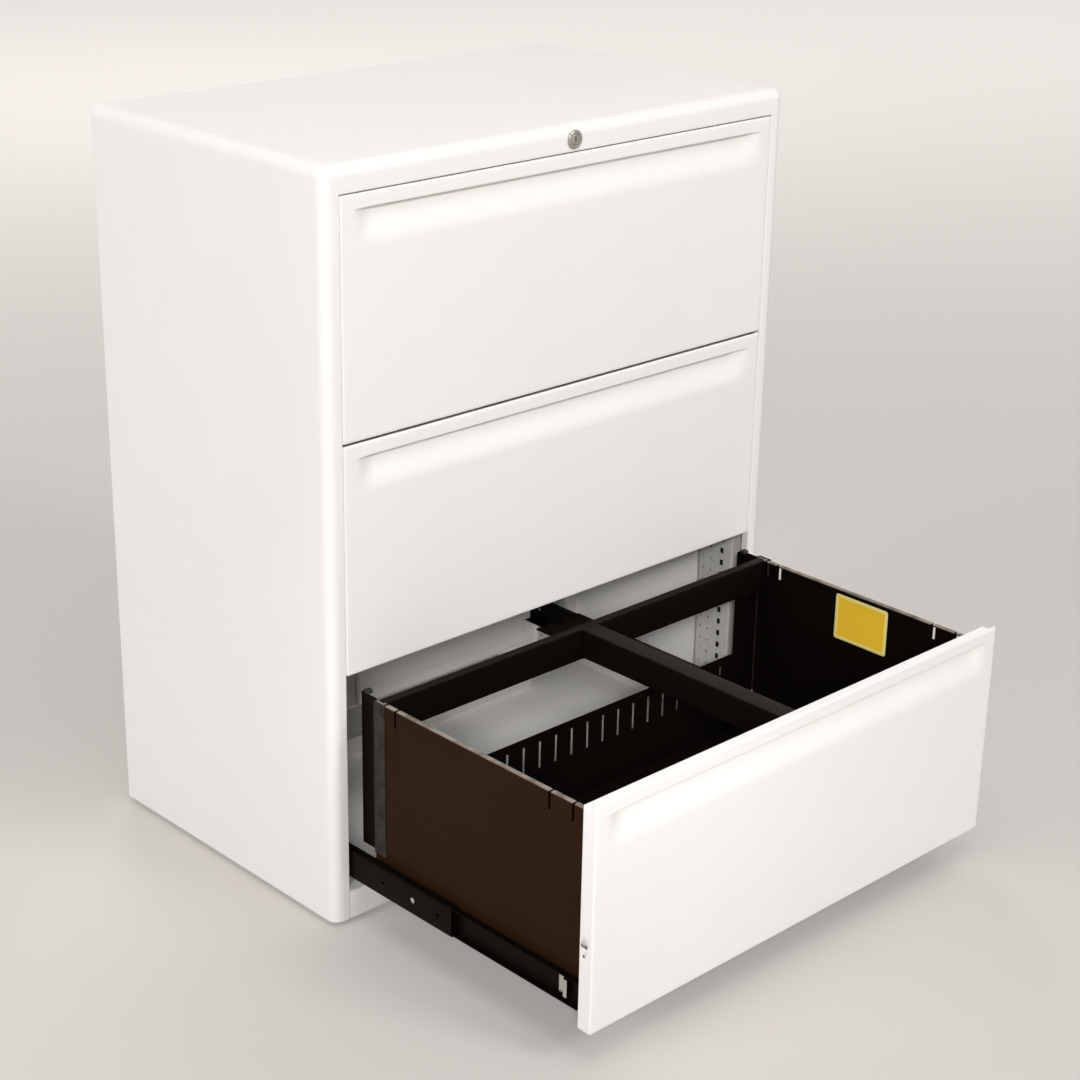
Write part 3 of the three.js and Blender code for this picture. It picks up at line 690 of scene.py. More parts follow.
for drawer in DRAWERS:
    low, high = node_box(f"{drawer}_drawer_front")
    make_piece(
        f"{drawer}_front", drawer_front(high[0], 0, high[2] - low[2], high[1] - low[1]),
        f"{drawer}_drawer", "white_powder_coat", (f"{drawer}_drawer_front",),
        shift=(0, low[1], low[2]), wall=FRONT_SHEET,
    )


# Drawer bodies

SIDE_FOLD = 1.5
SIDE_FLANGE = 12
HEM_WIDTH = 8
HEM_HEIGHT = 2.5
# Painted highlight along the top of a wall's hem: how far below the top edge it fades out, and its
# share on the edge
HIGHLIGHT_DEPTH = 1.2
HIGHLIGHT_SHARE = 0.8
NOTCH_WIDTH = 4
NOTCH_DEPTH = 24
NOTCH_INSETS_FRONT = (28, 67)
NOTCH_INSETS_BACK = (17, 39)
TRAY_BACK_HEIGHT = 125
TRAY_COLUMN = 46
BACK_SLOT_PITCH = 30
BACK_SLOT_WIDTH = 4
BACK_SLOT_HEIGHT = 40
BACK_SLOT_DROP = 13
CATCH_SHEET = 2
CATCH_FOLD = 4
CATCH_NOTCH_DEPTH = 9
CATCH_NOTCH_HALF = 7


def drawer_side(side, low, high):
    """Wall with a hem folded in along its top and a flange under the tray. The notches for the cross
    bars are cut through the hem and down the wall."""
    outer = outer_face(low, high)
    hem = outer + HEM_WIDTH
    head = [(hem, high[2] - HEM_HEIGHT), (hem, high[2]), (outer, high[2])]
    corners = [*head, (outer, low[2]), (outer + SIDE_FLANGE, low[2])]
    ends = on_side(side, [corners[0], (outer, high[2] - NOTCH_DEPTH)])
    middles = [low[1] + inset for inset in NOTCH_INSETS_FRONT]
    middles += [high[1] - inset for inset in NOTCH_INSETS_BACK]
    windows = [(*ends, y - NOTCH_WIDTH / 2, y + NOTCH_WIDTH / 2) for y in middles]
    return sheet(on_side(side, corners), SIDE_FOLD, "y", (low[1], high[1]), windows)


def hem_highlight(vertices):
    """Share of the painted highlight along the hem: HIGHLIGHT_SHARE on the top edge, falling to nought
    HIGHLIGHT_DEPTH below it.
    """
    below = vertices[:, 2].max() - vertices[:, 2]
    return HIGHLIGHT_SHARE * np.clip(1 - below / HIGHLIGHT_DEPTH, 0, 1)


def drawer_tray(low, high, rail_bottom):
    """One bent sheet: liner behind the front, floor, and a back whose middle is cut down to a low rim
    with a row of upright slots."""
    back_top = low[2] + TRAY_BACK_HEIGHT
    column_head = (high[1], rail_bottom - SEAM)
    corners = [(low[1], high[2]), (low[1], low[2]), (high[1], low[2]), column_head]
    window_half = high[0] - TRAY_COLUMN
    slot_top = back_top - BACK_SLOT_DROP
    slot_ends = (high[1], slot_top - BACK_SLOT_HEIGHT), (high[1], slot_top)
    windows = [((high[1], back_top), column_head, -window_half, window_half)]
    for x in evenly(int(2 * window_half // BACK_SLOT_PITCH), BACK_SLOT_PITCH):
        windows.append((*slot_ends, x - BACK_SLOT_WIDTH / 2, x + BACK_SLOT_WIDTH / 2))
    return sheet(corners, SHEET_FOLD, "x", (low[0], high[0]), windows)


def hang_rail(low, high, axis):
    """A channel along the axis that opens downwards."""
    across, along = (1, 0) if axis == "x" else (0, 1)
    far, near = high[across], low[across]
    corners = [(far, low[2]), (far, high[2]), (near, high[2]), (near, low[2])]
    return sheet(corners, SHEET_FOLD, axis, (low[along], high[along]))


def catch_bracket(low, high):
    """An angle behind the rear rail: its leg on the rail, its plate back to the lock bar, with a notch
    in its rear edge."""
    corners = [(high[1], high[2]), (low[1], high[2]), (low[1], low[2])]
    notch_end = (high[1] - CATCH_NOTCH_DEPTH, high[2])
    notch = (corners[0], notch_end, -CATCH_NOTCH_HALF, CATCH_NOTCH_HALF)
    return sheet(corners, CATCH_FOLD, "x", (low[0], high[0]), [notch])


POST_LAP = 20
POST_REACH = 32
POST_STEP = 5
POST_BEND = (1, 3)
POST_RETURN = 9
POST_FOLD = 0.5
POST_FOOT = 52
POST_SHEET = 1.2
POST_RISE = 1
# Share of the painted highlight on a post's lap, which makes it paler than the wall
LAP_HIGHLIGHT = 0.1
BUMPER_SIZE = 9
BUMPER_HEIGHT = 4.5
BUMPER_INSET = 4
BUMPER_STEPS = 24
BUMPER_CLIP = 1.25
# Each loop's share of the bumper's width and of its height
BUMPER_LOOPS = ((0, 0), (1, 0), (1, 0.75), (0.93, 0.94), (0.8, 1), (0, 1))


def rear_post(side, low, high):
    """A strip lapped on the wall's rear end that steps in and runs on behind it, drawn in plan and
    carried up from the slide to the hem."""
    face, end = outer_face(low, high), high[1]
    lap, step = face - POST_SHEET, face + POST_STEP
    tail = end + POST_REACH
    corners = [(step + POST_RETURN, tail), (step, tail), (step, end + POST_BEND[1])]
    corners += [(lap, end + POST_BEND[0]), (lap, end - POST_LAP), (face, end - POST_LAP)]
    return sheet(on_side(side, corners), POST_FOLD, "z", (low[2] + POST_FOOT, high[2] + POST_RISE))


def lap_highlight(vertices, wall_end):
    """Share of the painted highlight: LAP_HIGHLIGHT on the lap beside the wall, nought behind the step.
    """
    return np.where(vertices[:, 1] < wall_end + sum(POST_BEND) / 2, LAP_HIGHLIGHT, 0.0)


def bumper(side, low, high):
    """A soft square block on the post's head. Loops run from the middle of its foot out, up and in to
    the middle of its top, and each is a circle clipped to a square."""
    across = outer_face(low, high) + POST_STEP + BUMPER_INSET
    middle = np.array([side * -across, high[1] + POST_REACH - BUMPER_SIZE])
    square = np.clip(BUMPER_CLIP * circle(BUMPER_STEPS), -1, 1) * BUMPER_SIZE / 2
    levels = [high[2] + POST_RISE + rise * BUMPER_HEIGHT for _, rise in BUMPER_LOOPS]
    return looped(
        [
            np.column_stack([middle + share * square, np.full(BUMPER_STEPS, level)])
            for (share, _), level in zip(BUMPER_LOOPS, levels)
        ]
    )


for drawer in DRAWERS:
    body = f"{drawer}_drawer"
    for side_name, side in SIDES.items():
        node = f"{drawer}_drawer_{side_name}_side"
        box = node_box(node)
        side_wall = drawer_side(side, *box)
        # Outside, the wall's coat carries a painted brown reflection, and its hem a painted highlight
        # along its top
        make_piece(
            f"{drawer}_{side_name}_wall", side_wall, body, "black_powder_coat", (node,),
            finish=WALL_COAT_PAINTED_SHEEN, lining=BLACK_COAT, wall=DRAWER_SHEET, edge=CUT_EDGE,
            shades=[("painted_highlight", hem_highlight(side_wall[0]))],
        )
        post = rear_post(side, *box)
        # The post's lap carries a painted highlight
        make_piece(
            f"{drawer}_{side_name}_rear_post", post, body, "black_powder_coat",
            wall=POST_SHEET, edge=CUT_EDGE, shades=[("painted_highlight", lap_highlight(post[0], box[1][1]))],
        )
        make_piece(f"{drawer}_{side_name}_bumper", bumper(side, *box), body, "black_nylon")
    rail_box = node_box(f"{drawer}_rear_hang_rail")
    spine_box = node_box(f"{drawer}_centre_hang_rail")
    tray_box = node_box(f"{drawer}_drawer_tray")
    catch_box = node_box(f"{drawer}_catch_bracket")
    for name, shape, node, wall in (
        ("tray", drawer_tray(*tray_box, rail_box[0][2]), "drawer_tray", DRAWER_SHEET),
        ("rear_rail", hang_rail(*rail_box, "x"), "rear_hang_rail", DRAWER_SHEET),
        ("centre_rail", hang_rail(*spine_box, "y"), "centre_hang_rail", DRAWER_SHEET),
        ("catch", catch_bracket(*catch_box), "catch_bracket", CATCH_SHEET),
    ):
        make_piece(
            f"{drawer}_{name}", shape, body, "black_powder_coat", (f"{drawer}_{node}",),
            wall=wall, edge=CUT_EDGE,
        )


# Slides

SLIDE_SHEET = 1.4
SLIDE_RACE = 3.2
RACE_STEP = 0.6
SLIDE_HOLES = (0.06, 0.3, 0.55, 0.8, 0.95)
SLIDE_HOLE_RADIUS = 2.6


def slide_member(side, low, high, level):
    """A channel with rounded ball races and a row of holes in its web. The outer and middle members
    open towards the drawer, and the inner member opens towards the case."""
    web, tip = outer_face(low, high), inner_face(low, high)
    first, last = high[2], low[2]
    if level == 2:
        web, tip = tip, web
        first, last = last, first
    corners = [(tip, first), (web, first), (web, last), (tip, last)]
    middle = (side * -web, (low[2] + high[2]) / 2)
    places = [low[1] + share * (high[1] - low[1]) for share in SLIDE_HOLES]
    punches = [(middle, y, SLIDE_HOLE_RADIUS) for y in places]
    race = SLIDE_RACE - RACE_STEP * level
    return sheet(on_side(side, corners), race, "y", (low[1], high[1]), punches=punches)


for drawer in DRAWERS:
    carriers = {"outer": "case", "middle": f"{drawer}_slide_middles", "inner": f"{drawer}_drawer"}
    for side_name, side in SIDES.items():
        for level, (member, body) in enumerate(carriers.items()):
            node = f"{drawer}_{side_name}_slide_{member}"
            make_piece(
                f"{drawer}_{side_name}_{member}_member", slide_member(side, *node_box(node), level),
                body, "black_slide_coat", (node,), wall=SLIDE_SHEET, edge=CUT_EDGE,
            )


# Uprights

HOOK_PITCH = 19
HOOK_WIDTH = 7
HOOK_HEIGHT = 9
HOOK_INSET = 20
HOOK_ENDS = 60
DOT_RADIUS = 1.8
DOT_INSETS = (41, 56)


def upright(side, low, high):
    """A punched channel on the side panel: one column of hook windows near its front and two columns of
    small round holes at the same pitch."""
    wall, web = outer_face(low, high), inner_face(low, high)
    corners = [(wall, low[1]), (web, low[1]), (web, high[1]), (wall, high[1])]
    count = int((high[2] - low[2] - HOOK_ENDS) // HOOK_PITCH) + 1
    levels = (high[2] + low[2]) / 2 + evenly(count, HOOK_PITCH)
    face = side * -web
    hook = low[1] + HOOK_INSET
    ends = (face, hook - HOOK_WIDTH / 2), (face, hook + HOOK_WIDTH / 2)
    windows = [(*ends, z - HOOK_HEIGHT / 2, z + HOOK_HEIGHT / 2) for z in levels]
    punches = [((face, low[1] + inset), z, DOT_RADIUS) for inset in DOT_INSETS for z in levels]
    return sheet(on_side(side, corners), HEAVY_FOLD, "z", (low[2], high[2]), windows, punches)


for side_name, side in SIDES.items():
    for end in ENDS:
        node = f"{side_name}_{end}_upright"
        make_piece(
            f"{side_name}_{end}_channel", upright(side, *node_box(node)),
            "case", "galvanised_steel", (node,), wall=HEAVY_SHEET, edge=CUT_EDGE,
        )


# Black strips inside the uprights, put there as painted shade behind the punched holes

STRIP_SETBACK = 4
STRIP_INSET = 6
STRIP_RETURN = 6
STRIP_FOLD = 2
STRIP_END = 2
STRIP_WALL = 1.5


def painted_shade_strip(side, low, high):
    """A black moulded strip behind the punched face, put there as painted shade that darkens the holes,
    drawn in plan with its long edges turned in.
    """
    face = inner_face(low, high) - STRIP_SETBACK
    near, far = low[1] + STRIP_INSET, high[1] - STRIP_INSET
    rear = face - STRIP_RETURN
    corners = [(rear, near), (face, near), (face, far), (rear, far)]
    return sheet(on_side(side, corners), STRIP_FOLD, "z", (low[2] + STRIP_END, high[2] - STRIP_END))


for side_name, side in SIDES.items():
    for end in ENDS:
        make_piece(
            f"{side_name}_{end}_painted_shade_strip",
            painted_shade_strip(side, *node_box(f"{side_name}_{end}_upright")),
            "case", "black_nylon", wall=STRIP_WALL,
        )


# Base

STEM_HOLE = 5.4
foot_boxes = [node_box(f"{side}_{end}_foot") for side in SIDES for end in ENDS]


def base_tray(low, high):
    """A pan with its front and rear edges turned up, and a hole for each foot's stem."""
    corners = [(low[1], high[2]), (low[1], low[2]), (high[1], low[2]), (high[1], high[2])]
    stems = [(foot_low + foot_high) / 2 for foot_low, foot_high in foot_boxes]
    punches = [((y, low[2]), x, STEM_HOLE) for x, y, _ in stems]
    return sheet(corners, HEAVY_FOLD, "x", (low[0], high[0]), punches=punches)


def base_rail(low, high):
    """An angle under the bottom drawer: a top that runs back and a face that hangs down."""
    corners = [(high[1], high[2]), (low[1], high[2]), (low[1], low[2])]
    return sheet(corners, LIP_FOLD, "x", (low[0], high[0]))


for name, shape, node, wall in (
    ("base_tray", base_tray(*node_box("base_pan")), "base_pan", HEAVY_SHEET),
    ("base_rail", base_rail(*node_box("base_front_rail")), "base_front_rail", CASE_SHEET),
):
    make_piece(name, shape, "case", "white_powder_coat", (node,), wall=wall, edge=CUT_EDGE)


# Slide rivets and stops

RIVET_RADIUS = 3.6
RIVET_HEIGHT = 0.35
RIVET_SETBACK = 73
RIVET_LINES = 5
RIVET_STEPS = 20
STOP_SETBACK = 20
STOP_HALF_HEIGHT = 12
STOP_TONGUE = 5.5
# Ends of the stop's tongue, slope and foot, from its front edge
STOP_LENGTHS = (6, 9, 18)
STOP_FOLD = 1.2
STOP_SHEET = 0.8


def flush_rivet(side, low, high):
    """A nearly flush rivet head on the web of a middle member, turned from a flat foot and a low dome
    that is a quarter of an ellipse."""
    angle = np.linspace(0, np.pi / 2, RIVET_LINES)
    dome = np.stack([RIVET_RADIUS * np.cos(angle), RIVET_HEIGHT * np.sin(angle)], -1)
    web = side * -outer_face(low, high)
    centre = (web, low[1] + RIVET_SETBACK, (low[2] + high[2]) / 2)
    return lathe([(0, 0), *dome], centre, (side, 0, 0), RIVET_STEPS)


def slide_stop(side, low, high):
    """A bent tab inside an inner member near its front end: a tongue that stands towards the case, a
    slope, and a foot on the web, drawn in plan and carried upwards."""
    web = inner_face(low, high) - SLIDE_SHEET
    lying, standing = web - SEAM, web - STOP_TONGUE
    start = low[1] + STOP_SETBACK
    tongue, slope, foot = (start + length for length in STOP_LENGTHS)
    corners = [(standing, start), (standing, tongue), (lying, slope), (lying, foot)]
    middle = (low[2] + high[2]) / 2
    span = (middle - STOP_HALF_HEIGHT, middle + STOP_HALF_HEIGHT)
    return sheet(on_side(side, corners), STOP_FOLD, "z", span)


for drawer in DRAWERS:
    for side_name, side in SIDES.items():
        slide = f"{drawer}_{side_name}_slide"
        make_piece(
            f"{drawer}_{side_name}_rivet", flush_rivet(side, *node_box(f"{slide}_middle")),
            f"{drawer}_slide_middles", "galvanised_steel", finish=RIVET_ZINC,
        )
        make_piece(
            f"{drawer}_{side_name}_stop", slide_stop(side, *node_box(f"{slide}_inner")),
            f"{drawer}_drawer", "galvanised_steel", finish=RIVET_ZINC, wall=STOP_SHEET, edge=CUT_EDGE,
        )


# Back panel

FIELD_DEPTH = 1.2
FIELD_SLOPE = 6
FIELD_BORDER = 24
FIELD_SPINE = 32
# Grid lines down a field's slope, up the field and across it, and their distance from the field's edge
FIELD_SLOPE_LINES = 6
FIELD_ROWS = 12
FIELD_COLUMNS = (90, 180, 270)
FIELD_MARGINS = (30, 20)


def back_panel(low, high):
    """A flat sheet with two shallow pressed fields, one on each side of the lock channel. Its depth is
    FIELD_DEPTH times the smooth step of the distance to the field's nearest edge over FIELD_SLOPE.
    The upper corners follow the case's round: the half width at height z is the straight half width
    less the radius, plus the circle's half chord there."""
    slope = np.linspace(0, FIELD_SLOPE, FIELD_SLOPE_LINES)
    near, far = FIELD_SPINE / 2, high[0] - FIELD_BORDER
    foot, head = low[2] + FIELD_BORDER, high[2] - FIELD_BORDER
    round_foot = high[2] - EDGE_RADIUS
    columns = [0, *FIELD_COLUMNS, far - FIELD_MARGINS[0], high[0]]
    right = np.unique(np.concatenate([columns, near + slope, far - slope]))
    across = np.concatenate([-right[:0:-1], right])
    rise = round_foot + EDGE_RADIUS * np.sin(np.linspace(0, np.pi / 2, FOLD_STEPS + 1))
    field = np.linspace(foot + FIELD_MARGINS[1], head - FIELD_MARGINS[1], FIELD_ROWS)
    up = np.unique(np.concatenate([[low[2]], foot + slope, field, head - slope, rise]))
    z_grid, x_grid = np.meshgrid(up, across, indexing="ij")
    into_x = np.minimum(np.abs(x_grid) - near, far - np.abs(x_grid))
    into_z = np.minimum(z_grid - foot, head - z_grid)
    depth = FIELD_DEPTH * smooth(np.minimum(into_x, into_z) / FIELD_SLOPE)
    above = np.clip(z_grid - round_foot, 0, EDGE_RADIUS)
    half = high[0] - EDGE_RADIUS + np.sqrt(EDGE_RADIUS**2 - above**2)
    x_grid = np.sign(x_grid) * np.minimum(np.abs(x_grid), half)
    return merged([patch(np.stack([x_grid, high[1] - depth, z_grid], -1))])


make_piece(
    "back_sheet", back_panel(*node_box("back_panel")),
    "case", "white_powder_coat", ("back_panel",), wall=CASE_SHEET, edge=CUT_EDGE,
)


# Levelling feet

THREAD_PITCH = 1.5
THREAD_DEPTH = 0.45
STEM_RADIUS = 5
STEM_TIP = 0.6
STEM_STEPS = 24
PAD_STEPS = 48
PAD_TOP = 5.7
PAN_TOP = 7.5
PAD_PROFILE = [
    (0, 0), (17.6, 0), (18.8, 0.3), (19.6, 1), (20, 2.2), (19.7, 3.4), (18.8, 4.2),
    (13, 5), (9, 5.2), (9, 5.6), (0, 5.6),
]


def stem_profile(top):
    """Radius and height up a threaded stem: at each half pitch the radius swings between crest and
    root."""
    heights = np.arange(PAN_TOP + THREAD_PITCH, top - STEM_TIP, THREAD_PITCH / 2)
    radii = STEM_RADIUS - THREAD_DEPTH * (np.arange(len(heights)) % 2)
    thread = np.stack([radii, heights], -1).tolist()
    return [(0, PAD_TOP), (STEM_RADIUS, PAD_TOP), *thread, (STEM_RADIUS - THREAD_DEPTH, top), (0, top)]


for side_name in SIDES:
    for end in ENDS:
        node = f"{side_name}_{end}_foot"
        low, high = node_box(node)
        centre = (*((low + high) / 2)[:2], 0)
        make_piece(
            f"{side_name}_{end}_pad", lathe(PAD_PROFILE, centre, (0, 0, 1), PAD_STEPS),
            "case", "black_nylon", (node,),
        )
        make_piece(
            f"{side_name}_{end}_stem", lathe(stem_profile(high[2]), centre, (0, 0, 1), STEM_STEPS),
            "case", "galvanised_steel", finish=RIVET_ZINC,
        )


# Lock

LOCK_STEPS = 48
BORE_RADIUS = 7.1
BODY_RADIUS = 7.6
BEZEL_THICKNESS = 3
BEZEL_PROFILE = [
    (11.5, 0), (12, 0.5), (12, 1.4), (11.7, 2.2), (11, 2.8), (10.2, 3), (8, 3), (7.4, 2.8), (7.1, 2.3),
]
PLUG_RADIUS = 6.9
# Depths behind the plug's foremost plane: its face, the rounded edge of its keyway and the keyway's end
PLUG_FACE = 0.35
KEY_EDGE = 0.6
KEY_DEPTH = 8
# The plug's rounded rim: how far in from its radius, and its depth
PLUG_RIM = ((0, 1), (0.2, 0.6), (0.7, PLUG_FACE))
# The keyway's half width and half height, and how much wider it is at the face
KEY_HALF = (1, 4)
KEY_FLARE = 1.15


def lock_bezel(low, high):
    """A ring with a rolled edge on a plain barrel, turned about the lock's axis."""
    flange = -low[1] - BEZEL_THICKNESS
    barrel = [(BORE_RADIUS, -high[1]), (BODY_RADIUS, -high[1]), (BODY_RADIUS, flange)]
    ring = [(radius, flange + height) for radius, height in BEZEL_PROFILE]
    return lathe([*barrel, *ring, barrel[0]], (0, 0, LOCK_HEIGHT), (0, -1, 0), LOCK_STEPS)


def lock_plug(low, high):
    """A round plug with a keyway. Loops run from the back up the outside and over the face to the
    keyway, then down into it: the outer loops are circles, the inner ones the same circle clipped to
    the keyway's half width and half height."""
    disc = circle(LOCK_STEPS)
    keyway = np.clip(disc * 2 * KEY_HALF[1], -np.array(KEY_HALF), KEY_HALF)
    face = low[1]
    loops = [(0 * disc, high[1]), (PLUG_RADIUS * disc, high[1])]
    loops += [((PLUG_RADIUS - inset) * disc, face + depth) for inset, depth in PLUG_RIM]
    loops += [(KEY_FLARE * keyway, face + PLUG_FACE), (keyway, face + KEY_EDGE)]
    loops += [(keyway, face + KEY_DEPTH), (0 * keyway, face + KEY_DEPTH)]
    return looped(
        [
            np.column_stack([plan[:, 0], np.full(LOCK_STEPS, y), LOCK_HEIGHT + plan[:, 1]])
            for plan, y in loops
        ]
    )


make_piece(
    "lock_ring", lock_bezel(bezel_low, bezel_high), "case", "nickel_lock", ("lock_housing",)
)
make_piece(
    "lock_barrel", lock_plug(*node_box("lock_plug")), "lock_cylinder", "nickel_lock", ("lock_plug",)
)


# Blank label on the open drawer's right wall

LABEL_LENGTH = 92
LABEL_HEIGHT = 68
LABEL_CORNER = 4
LABEL_BORDER = 5
LABEL_BLEND = 0.4
LABEL_INSET = 10
LABEL_LINES = 8
LABEL_THICKNESS = 0.25
LABEL_BELLY = 0.1
LABEL_WAVES = (11, 9)
LABEL_BACK = 145
LABEL_DROP = 10


def label_lines(length):
    """Grid lines along one side of the label: close together at the corners and at the border."""
    edge = [0, LABEL_CORNER / 2, LABEL_CORNER, LABEL_BORDER, LABEL_BORDER + LABEL_BLEND]
    inner = np.linspace(LABEL_INSET, length - LABEL_INSET, LABEL_LINES)
    return np.concatenate([edge, inner, length - np.array(edge)[::-1]])


def label(wall_x):
    """A thin rectangle with round corners, as a grid drawn in at its corners: a point farther than the
    radius from the rectangle shrunk by the radius moves in to that distance. It bellies by
    LABEL_BELLY in soft waves, a sine of its length times a cosine of its height."""
    y_grid, z_grid = np.meshgrid(label_lines(LABEL_LENGTH), label_lines(LABEL_HEIGHT), indexing="ij")
    inner_y = np.clip(y_grid, LABEL_CORNER, LABEL_LENGTH - LABEL_CORNER)
    inner_z = np.clip(z_grid, LABEL_CORNER, LABEL_HEIGHT - LABEL_CORNER)
    away = np.hypot(y_grid - inner_y, z_grid - inner_z)
    draw = LABEL_CORNER / np.maximum(away, LABEL_CORNER)
    y_grid = inner_y + (y_grid - inner_y) * draw
    z_grid = inner_z + (z_grid - inner_z) * draw
    belly = LABEL_BELLY * (1 + np.sin(y_grid / LABEL_WAVES[0]) * np.cos(z_grid / LABEL_WAVES[1]))
    points = np.stack([wall_x - LABEL_THICKNESS - belly, y_grid, z_grid], -1)
    return merged([patch(points, flip=True)])


def label_border(vertices):
    """One within LABEL_BORDER of the label's edge, otherwise nought."""
    y, z = vertices[:, 1], vertices[:, 2]
    from_edge = np.minimum.reduce([y, LABEL_LENGTH - y, z, LABEL_HEIGHT - z])
    return np.where(from_edge > LABEL_BORDER + LABEL_BLEND / 2, 0.0, 1.0)


wall_low, wall_high = node_box("bottom_drawer_right_side")
paper = label(wall_high[0] - DRAWER_SHEET)
make_piece(
    "blank_label", paper, "bottom_drawer", finish=label_paper(),
    shift=(0, wall_low[1] + LABEL_BACK, wall_high[2] - LABEL_DROP - LABEL_HEIGHT),
    wall=LABEL_THICKNESS / 2, shades=[("border", label_border(paper[0]))],
)


# Finishes of the CAD nodes, of which only those that no piece stands for are seen

for subpart in frame["record"]["subparts"]:
    cad_node = frame["nodes"][subpart["node"]]
    cad_node.data.materials.clear()
    cad_node.data.materials.append(FINISHES[subpart["material_slot"]])


# Floor, light and camera, placed in metres

FLOOR_REACH = 80
FLOOR_TONE = "C0BBB6"
LIFT_TONE = "FFF8F4"
# The floor's painted glow near the object and far from it, and the distances at which it starts and
# ends
LIFT = (0.14, 0.62)
LIFT_REACH = (0.8, 8)
BACKDROP_TONE = "E6E1DD"
DOME_STRENGTH = 0.2


def seen_rays(tree):
    """One for rays from the camera and those that a glossy or clear face sends on, otherwise nought."""
    rays = add_node(tree, "LightPath", {})
    seen = rays["Is Camera Ray"]
    for sent_on in ("Is Glossy Ray", "Is Transmission Ray"):
        seen = add_node(tree, "Math", {0: seen, 1: rays[sent_on]}, operation="MAXIMUM")["Value"]
    return seen


def floor():
    """A flat square of one plain pale tone. Where it is seen it glows as painted light: a little near
    the object, so that the floor round it stays darker as a painted soft shade, and more with the
    distance from the object, until it meets the backdrop's tone."""
    corners = [(x * FLOOR_REACH, y * FLOOR_REACH, 0) for x, y in ((-1, -1), (1, -1), (1, 1), (-1, 1))]
    mesh = bpy.data.meshes.new("floor")
    mesh.from_pydata(corners, [], [(0, 1, 2, 3)])
    made = bpy.data.objects.new("floor", mesh)
    bpy.context.collection.objects.link(made)
    material, tree, shader, place = new_material("pale floor")
    distance = add_node(tree, "VectorMath", {0: place}, operation="LENGTH")["Value"]
    spread = {"Value": distance, "From Min": LIFT_REACH[0], "From Max": LIFT_REACH[1]}
    spread |= {"To Min": LIFT[0], "To Max": LIFT[1]}
    rise = add_node(tree, "MapRange", spread, interpolation_type="SMOOTHSTEP")["Result"]
    lift = add_node(tree, "Math", {0: seen_rays(tree), 1: rise}, operation="MULTIPLY")["Value"]
    feed(shader, {"Base Color": linear(FLOOR_TONE), "Roughness": 0.8})
    feed(shader, {"Emission Color": linear(LIFT_TONE), "Emission Strength": lift})
    mesh.materials.append(material)


def surroundings():
    """An even dome of soft light, which the camera and reflections see as a pale backdrop."""
    world = bpy.data.worlds.new("soft dome")
    bpy.context.scene.world = world
    world.use_nodes = True
    tree = world.node_tree
    dome = tree.nodes["Background"]
    feed(dome, {"Color": linear("FFFFFF"), "Strength": DOME_STRENGTH})
    backdrop = add_node(tree, "Background", {"Color": linear(BACKDROP_TONE), "Strength": 1})
    sources = {0: seen_rays(tree), 1: dome.outputs["Background"], 2: backdrop["Background"]}
    feed(tree.nodes["World Output"], {"Surface": add_node(tree, "MixShader", sources)["Shader"]})


def facing(azimuth, elevation):
    """Unit vector from the object towards a viewer or lamp, from angles in degrees: azimuth 0 is
    straight in front, and 90 is on the right."""
    azimuth, elevation = math.radians(azimuth), math.radians(elevation)
    level = Vector((math.sin(azimuth), -math.cos(azimuth), 0)) * math.cos(elevation)
    return level + Vector((0, 0, math.sin(elevation)))


def place_lamp(data, aim, azimuth, elevation, distance, mirrored=True):
    """Puts a lamp at a distance from its aim, turned to it and unseen by the camera. Glossy faces
    reflect it only if it is mirrored."""
    away = facing(azimuth, elevation)
    made = bpy.data.objects.new(data.name, data)
    made.location = Vector(aim) + away * distance
    made.rotation_euler = away.to_track_quat("Z", "Y").to_euler()
    made.visible_camera = False
    made.visible_glossy = mirrored
    bpy.context.collection.objects.link(made)


LAMP_AIM = (0, 0, 0.45)
SPOT_AIM = (0.05, -0.05, 0.22)
SPOT_DISTANCE = 5
SPOT_ANGLE = 9
SPOT_SIZE = 0.2
SPOT_POWER = 260


def lamp(name, azimuth, elevation, distance, size, power, mirrored=True):
    """A square white soft box that faces the middle of the object."""
    data = bpy.data.lights.new(name, "AREA")
    data.size = size
    data.energy = power
    place_lamp(data, LAMP_AIM, azimuth, elevation, distance, mirrored)


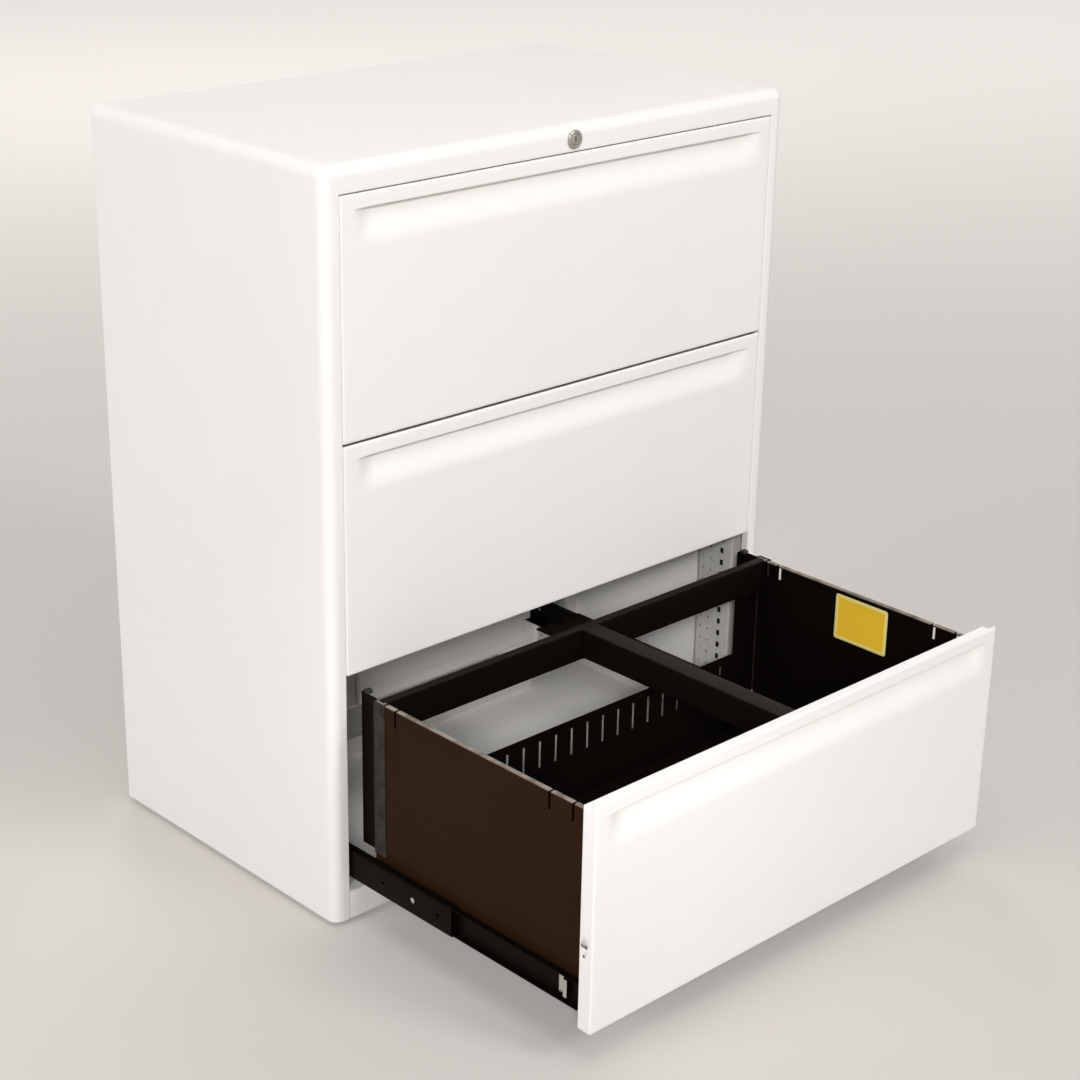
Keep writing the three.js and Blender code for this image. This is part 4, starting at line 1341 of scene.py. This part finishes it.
def drawer_spot(azimuth, elevation):
    """A spot into the open drawer, from the camera's side, whose light fades from its middle out."""
    data = bpy.data.lights.new("drawer", "SPOT")
    data.spot_size = math.radians(SPOT_ANGLE)
    data.spot_blend = 1
    data.shadow_soft_size = SPOT_SIZE
    data.energy = SPOT_POWER
    place_lamp(data, SPOT_AIM, azimuth, elevation, SPOT_DISTANCE)


# Camera, fitted to the photograph's straight edges: 1080 by 1080 pixels, no shift
CAMERA_AZIMUTH = -43.9
CAMERA_ELEVATION = 21.8
CAMERA_ROLL = 1.1
CAMERA_PLACE = (-1.9662, -2.0102, 1.557)
CAMERA_LENS = 75.27
CAMERA_CLIP_END = 200
SENSOR_WIDTH = 36


def camera():
    """The photograph's camera: back points from the object to it, level lies across it, and both level
    and the direction above it are rolled about back."""
    back = facing(CAMERA_AZIMUTH, CAMERA_ELEVATION)
    level = facing(CAMERA_AZIMUTH + 90, 0)
    above = back.cross(level)
    roll = math.radians(CAMERA_ROLL)
    right = level * math.cos(roll) + above * math.sin(roll)
    up = above * math.cos(roll) - level * math.sin(roll)
    data = bpy.data.cameras.new("camera")
    data.sensor_width = SENSOR_WIDTH
    data.lens = CAMERA_LENS
    data.clip_end = CAMERA_CLIP_END
    made = bpy.data.objects.new("camera", data)
    turned = Matrix((right, up, back)).transposed().to_4x4()
    made.matrix_world = Matrix.Translation(CAMERA_PLACE) @ turned
    bpy.context.collection.objects.link(made)
    bpy.context.scene.camera = made


floor()
lamp("key", azimuth=-44.5, elevation=25.5, distance=7.5, size=1.0, power=245)
lamp("front", azimuth=15, elevation=36, distance=7.5, size=1.8, power=147)
lamp("left", azimuth=-104, elevation=20, distance=6.5, size=2.4, power=109, mirrored=False)
lamp("back", azimuth=150, elevation=30, distance=6.5, size=2.4, power=110, mirrored=False)
lamp("overhead", azimuth=-25, elevation=66, distance=4, size=2.4, power=43)
drawer_spot(azimuth=-45, elevation=25.5)
surroundings()
camera()
bpy.context.scene.view_settings.view_transform = "Standard"
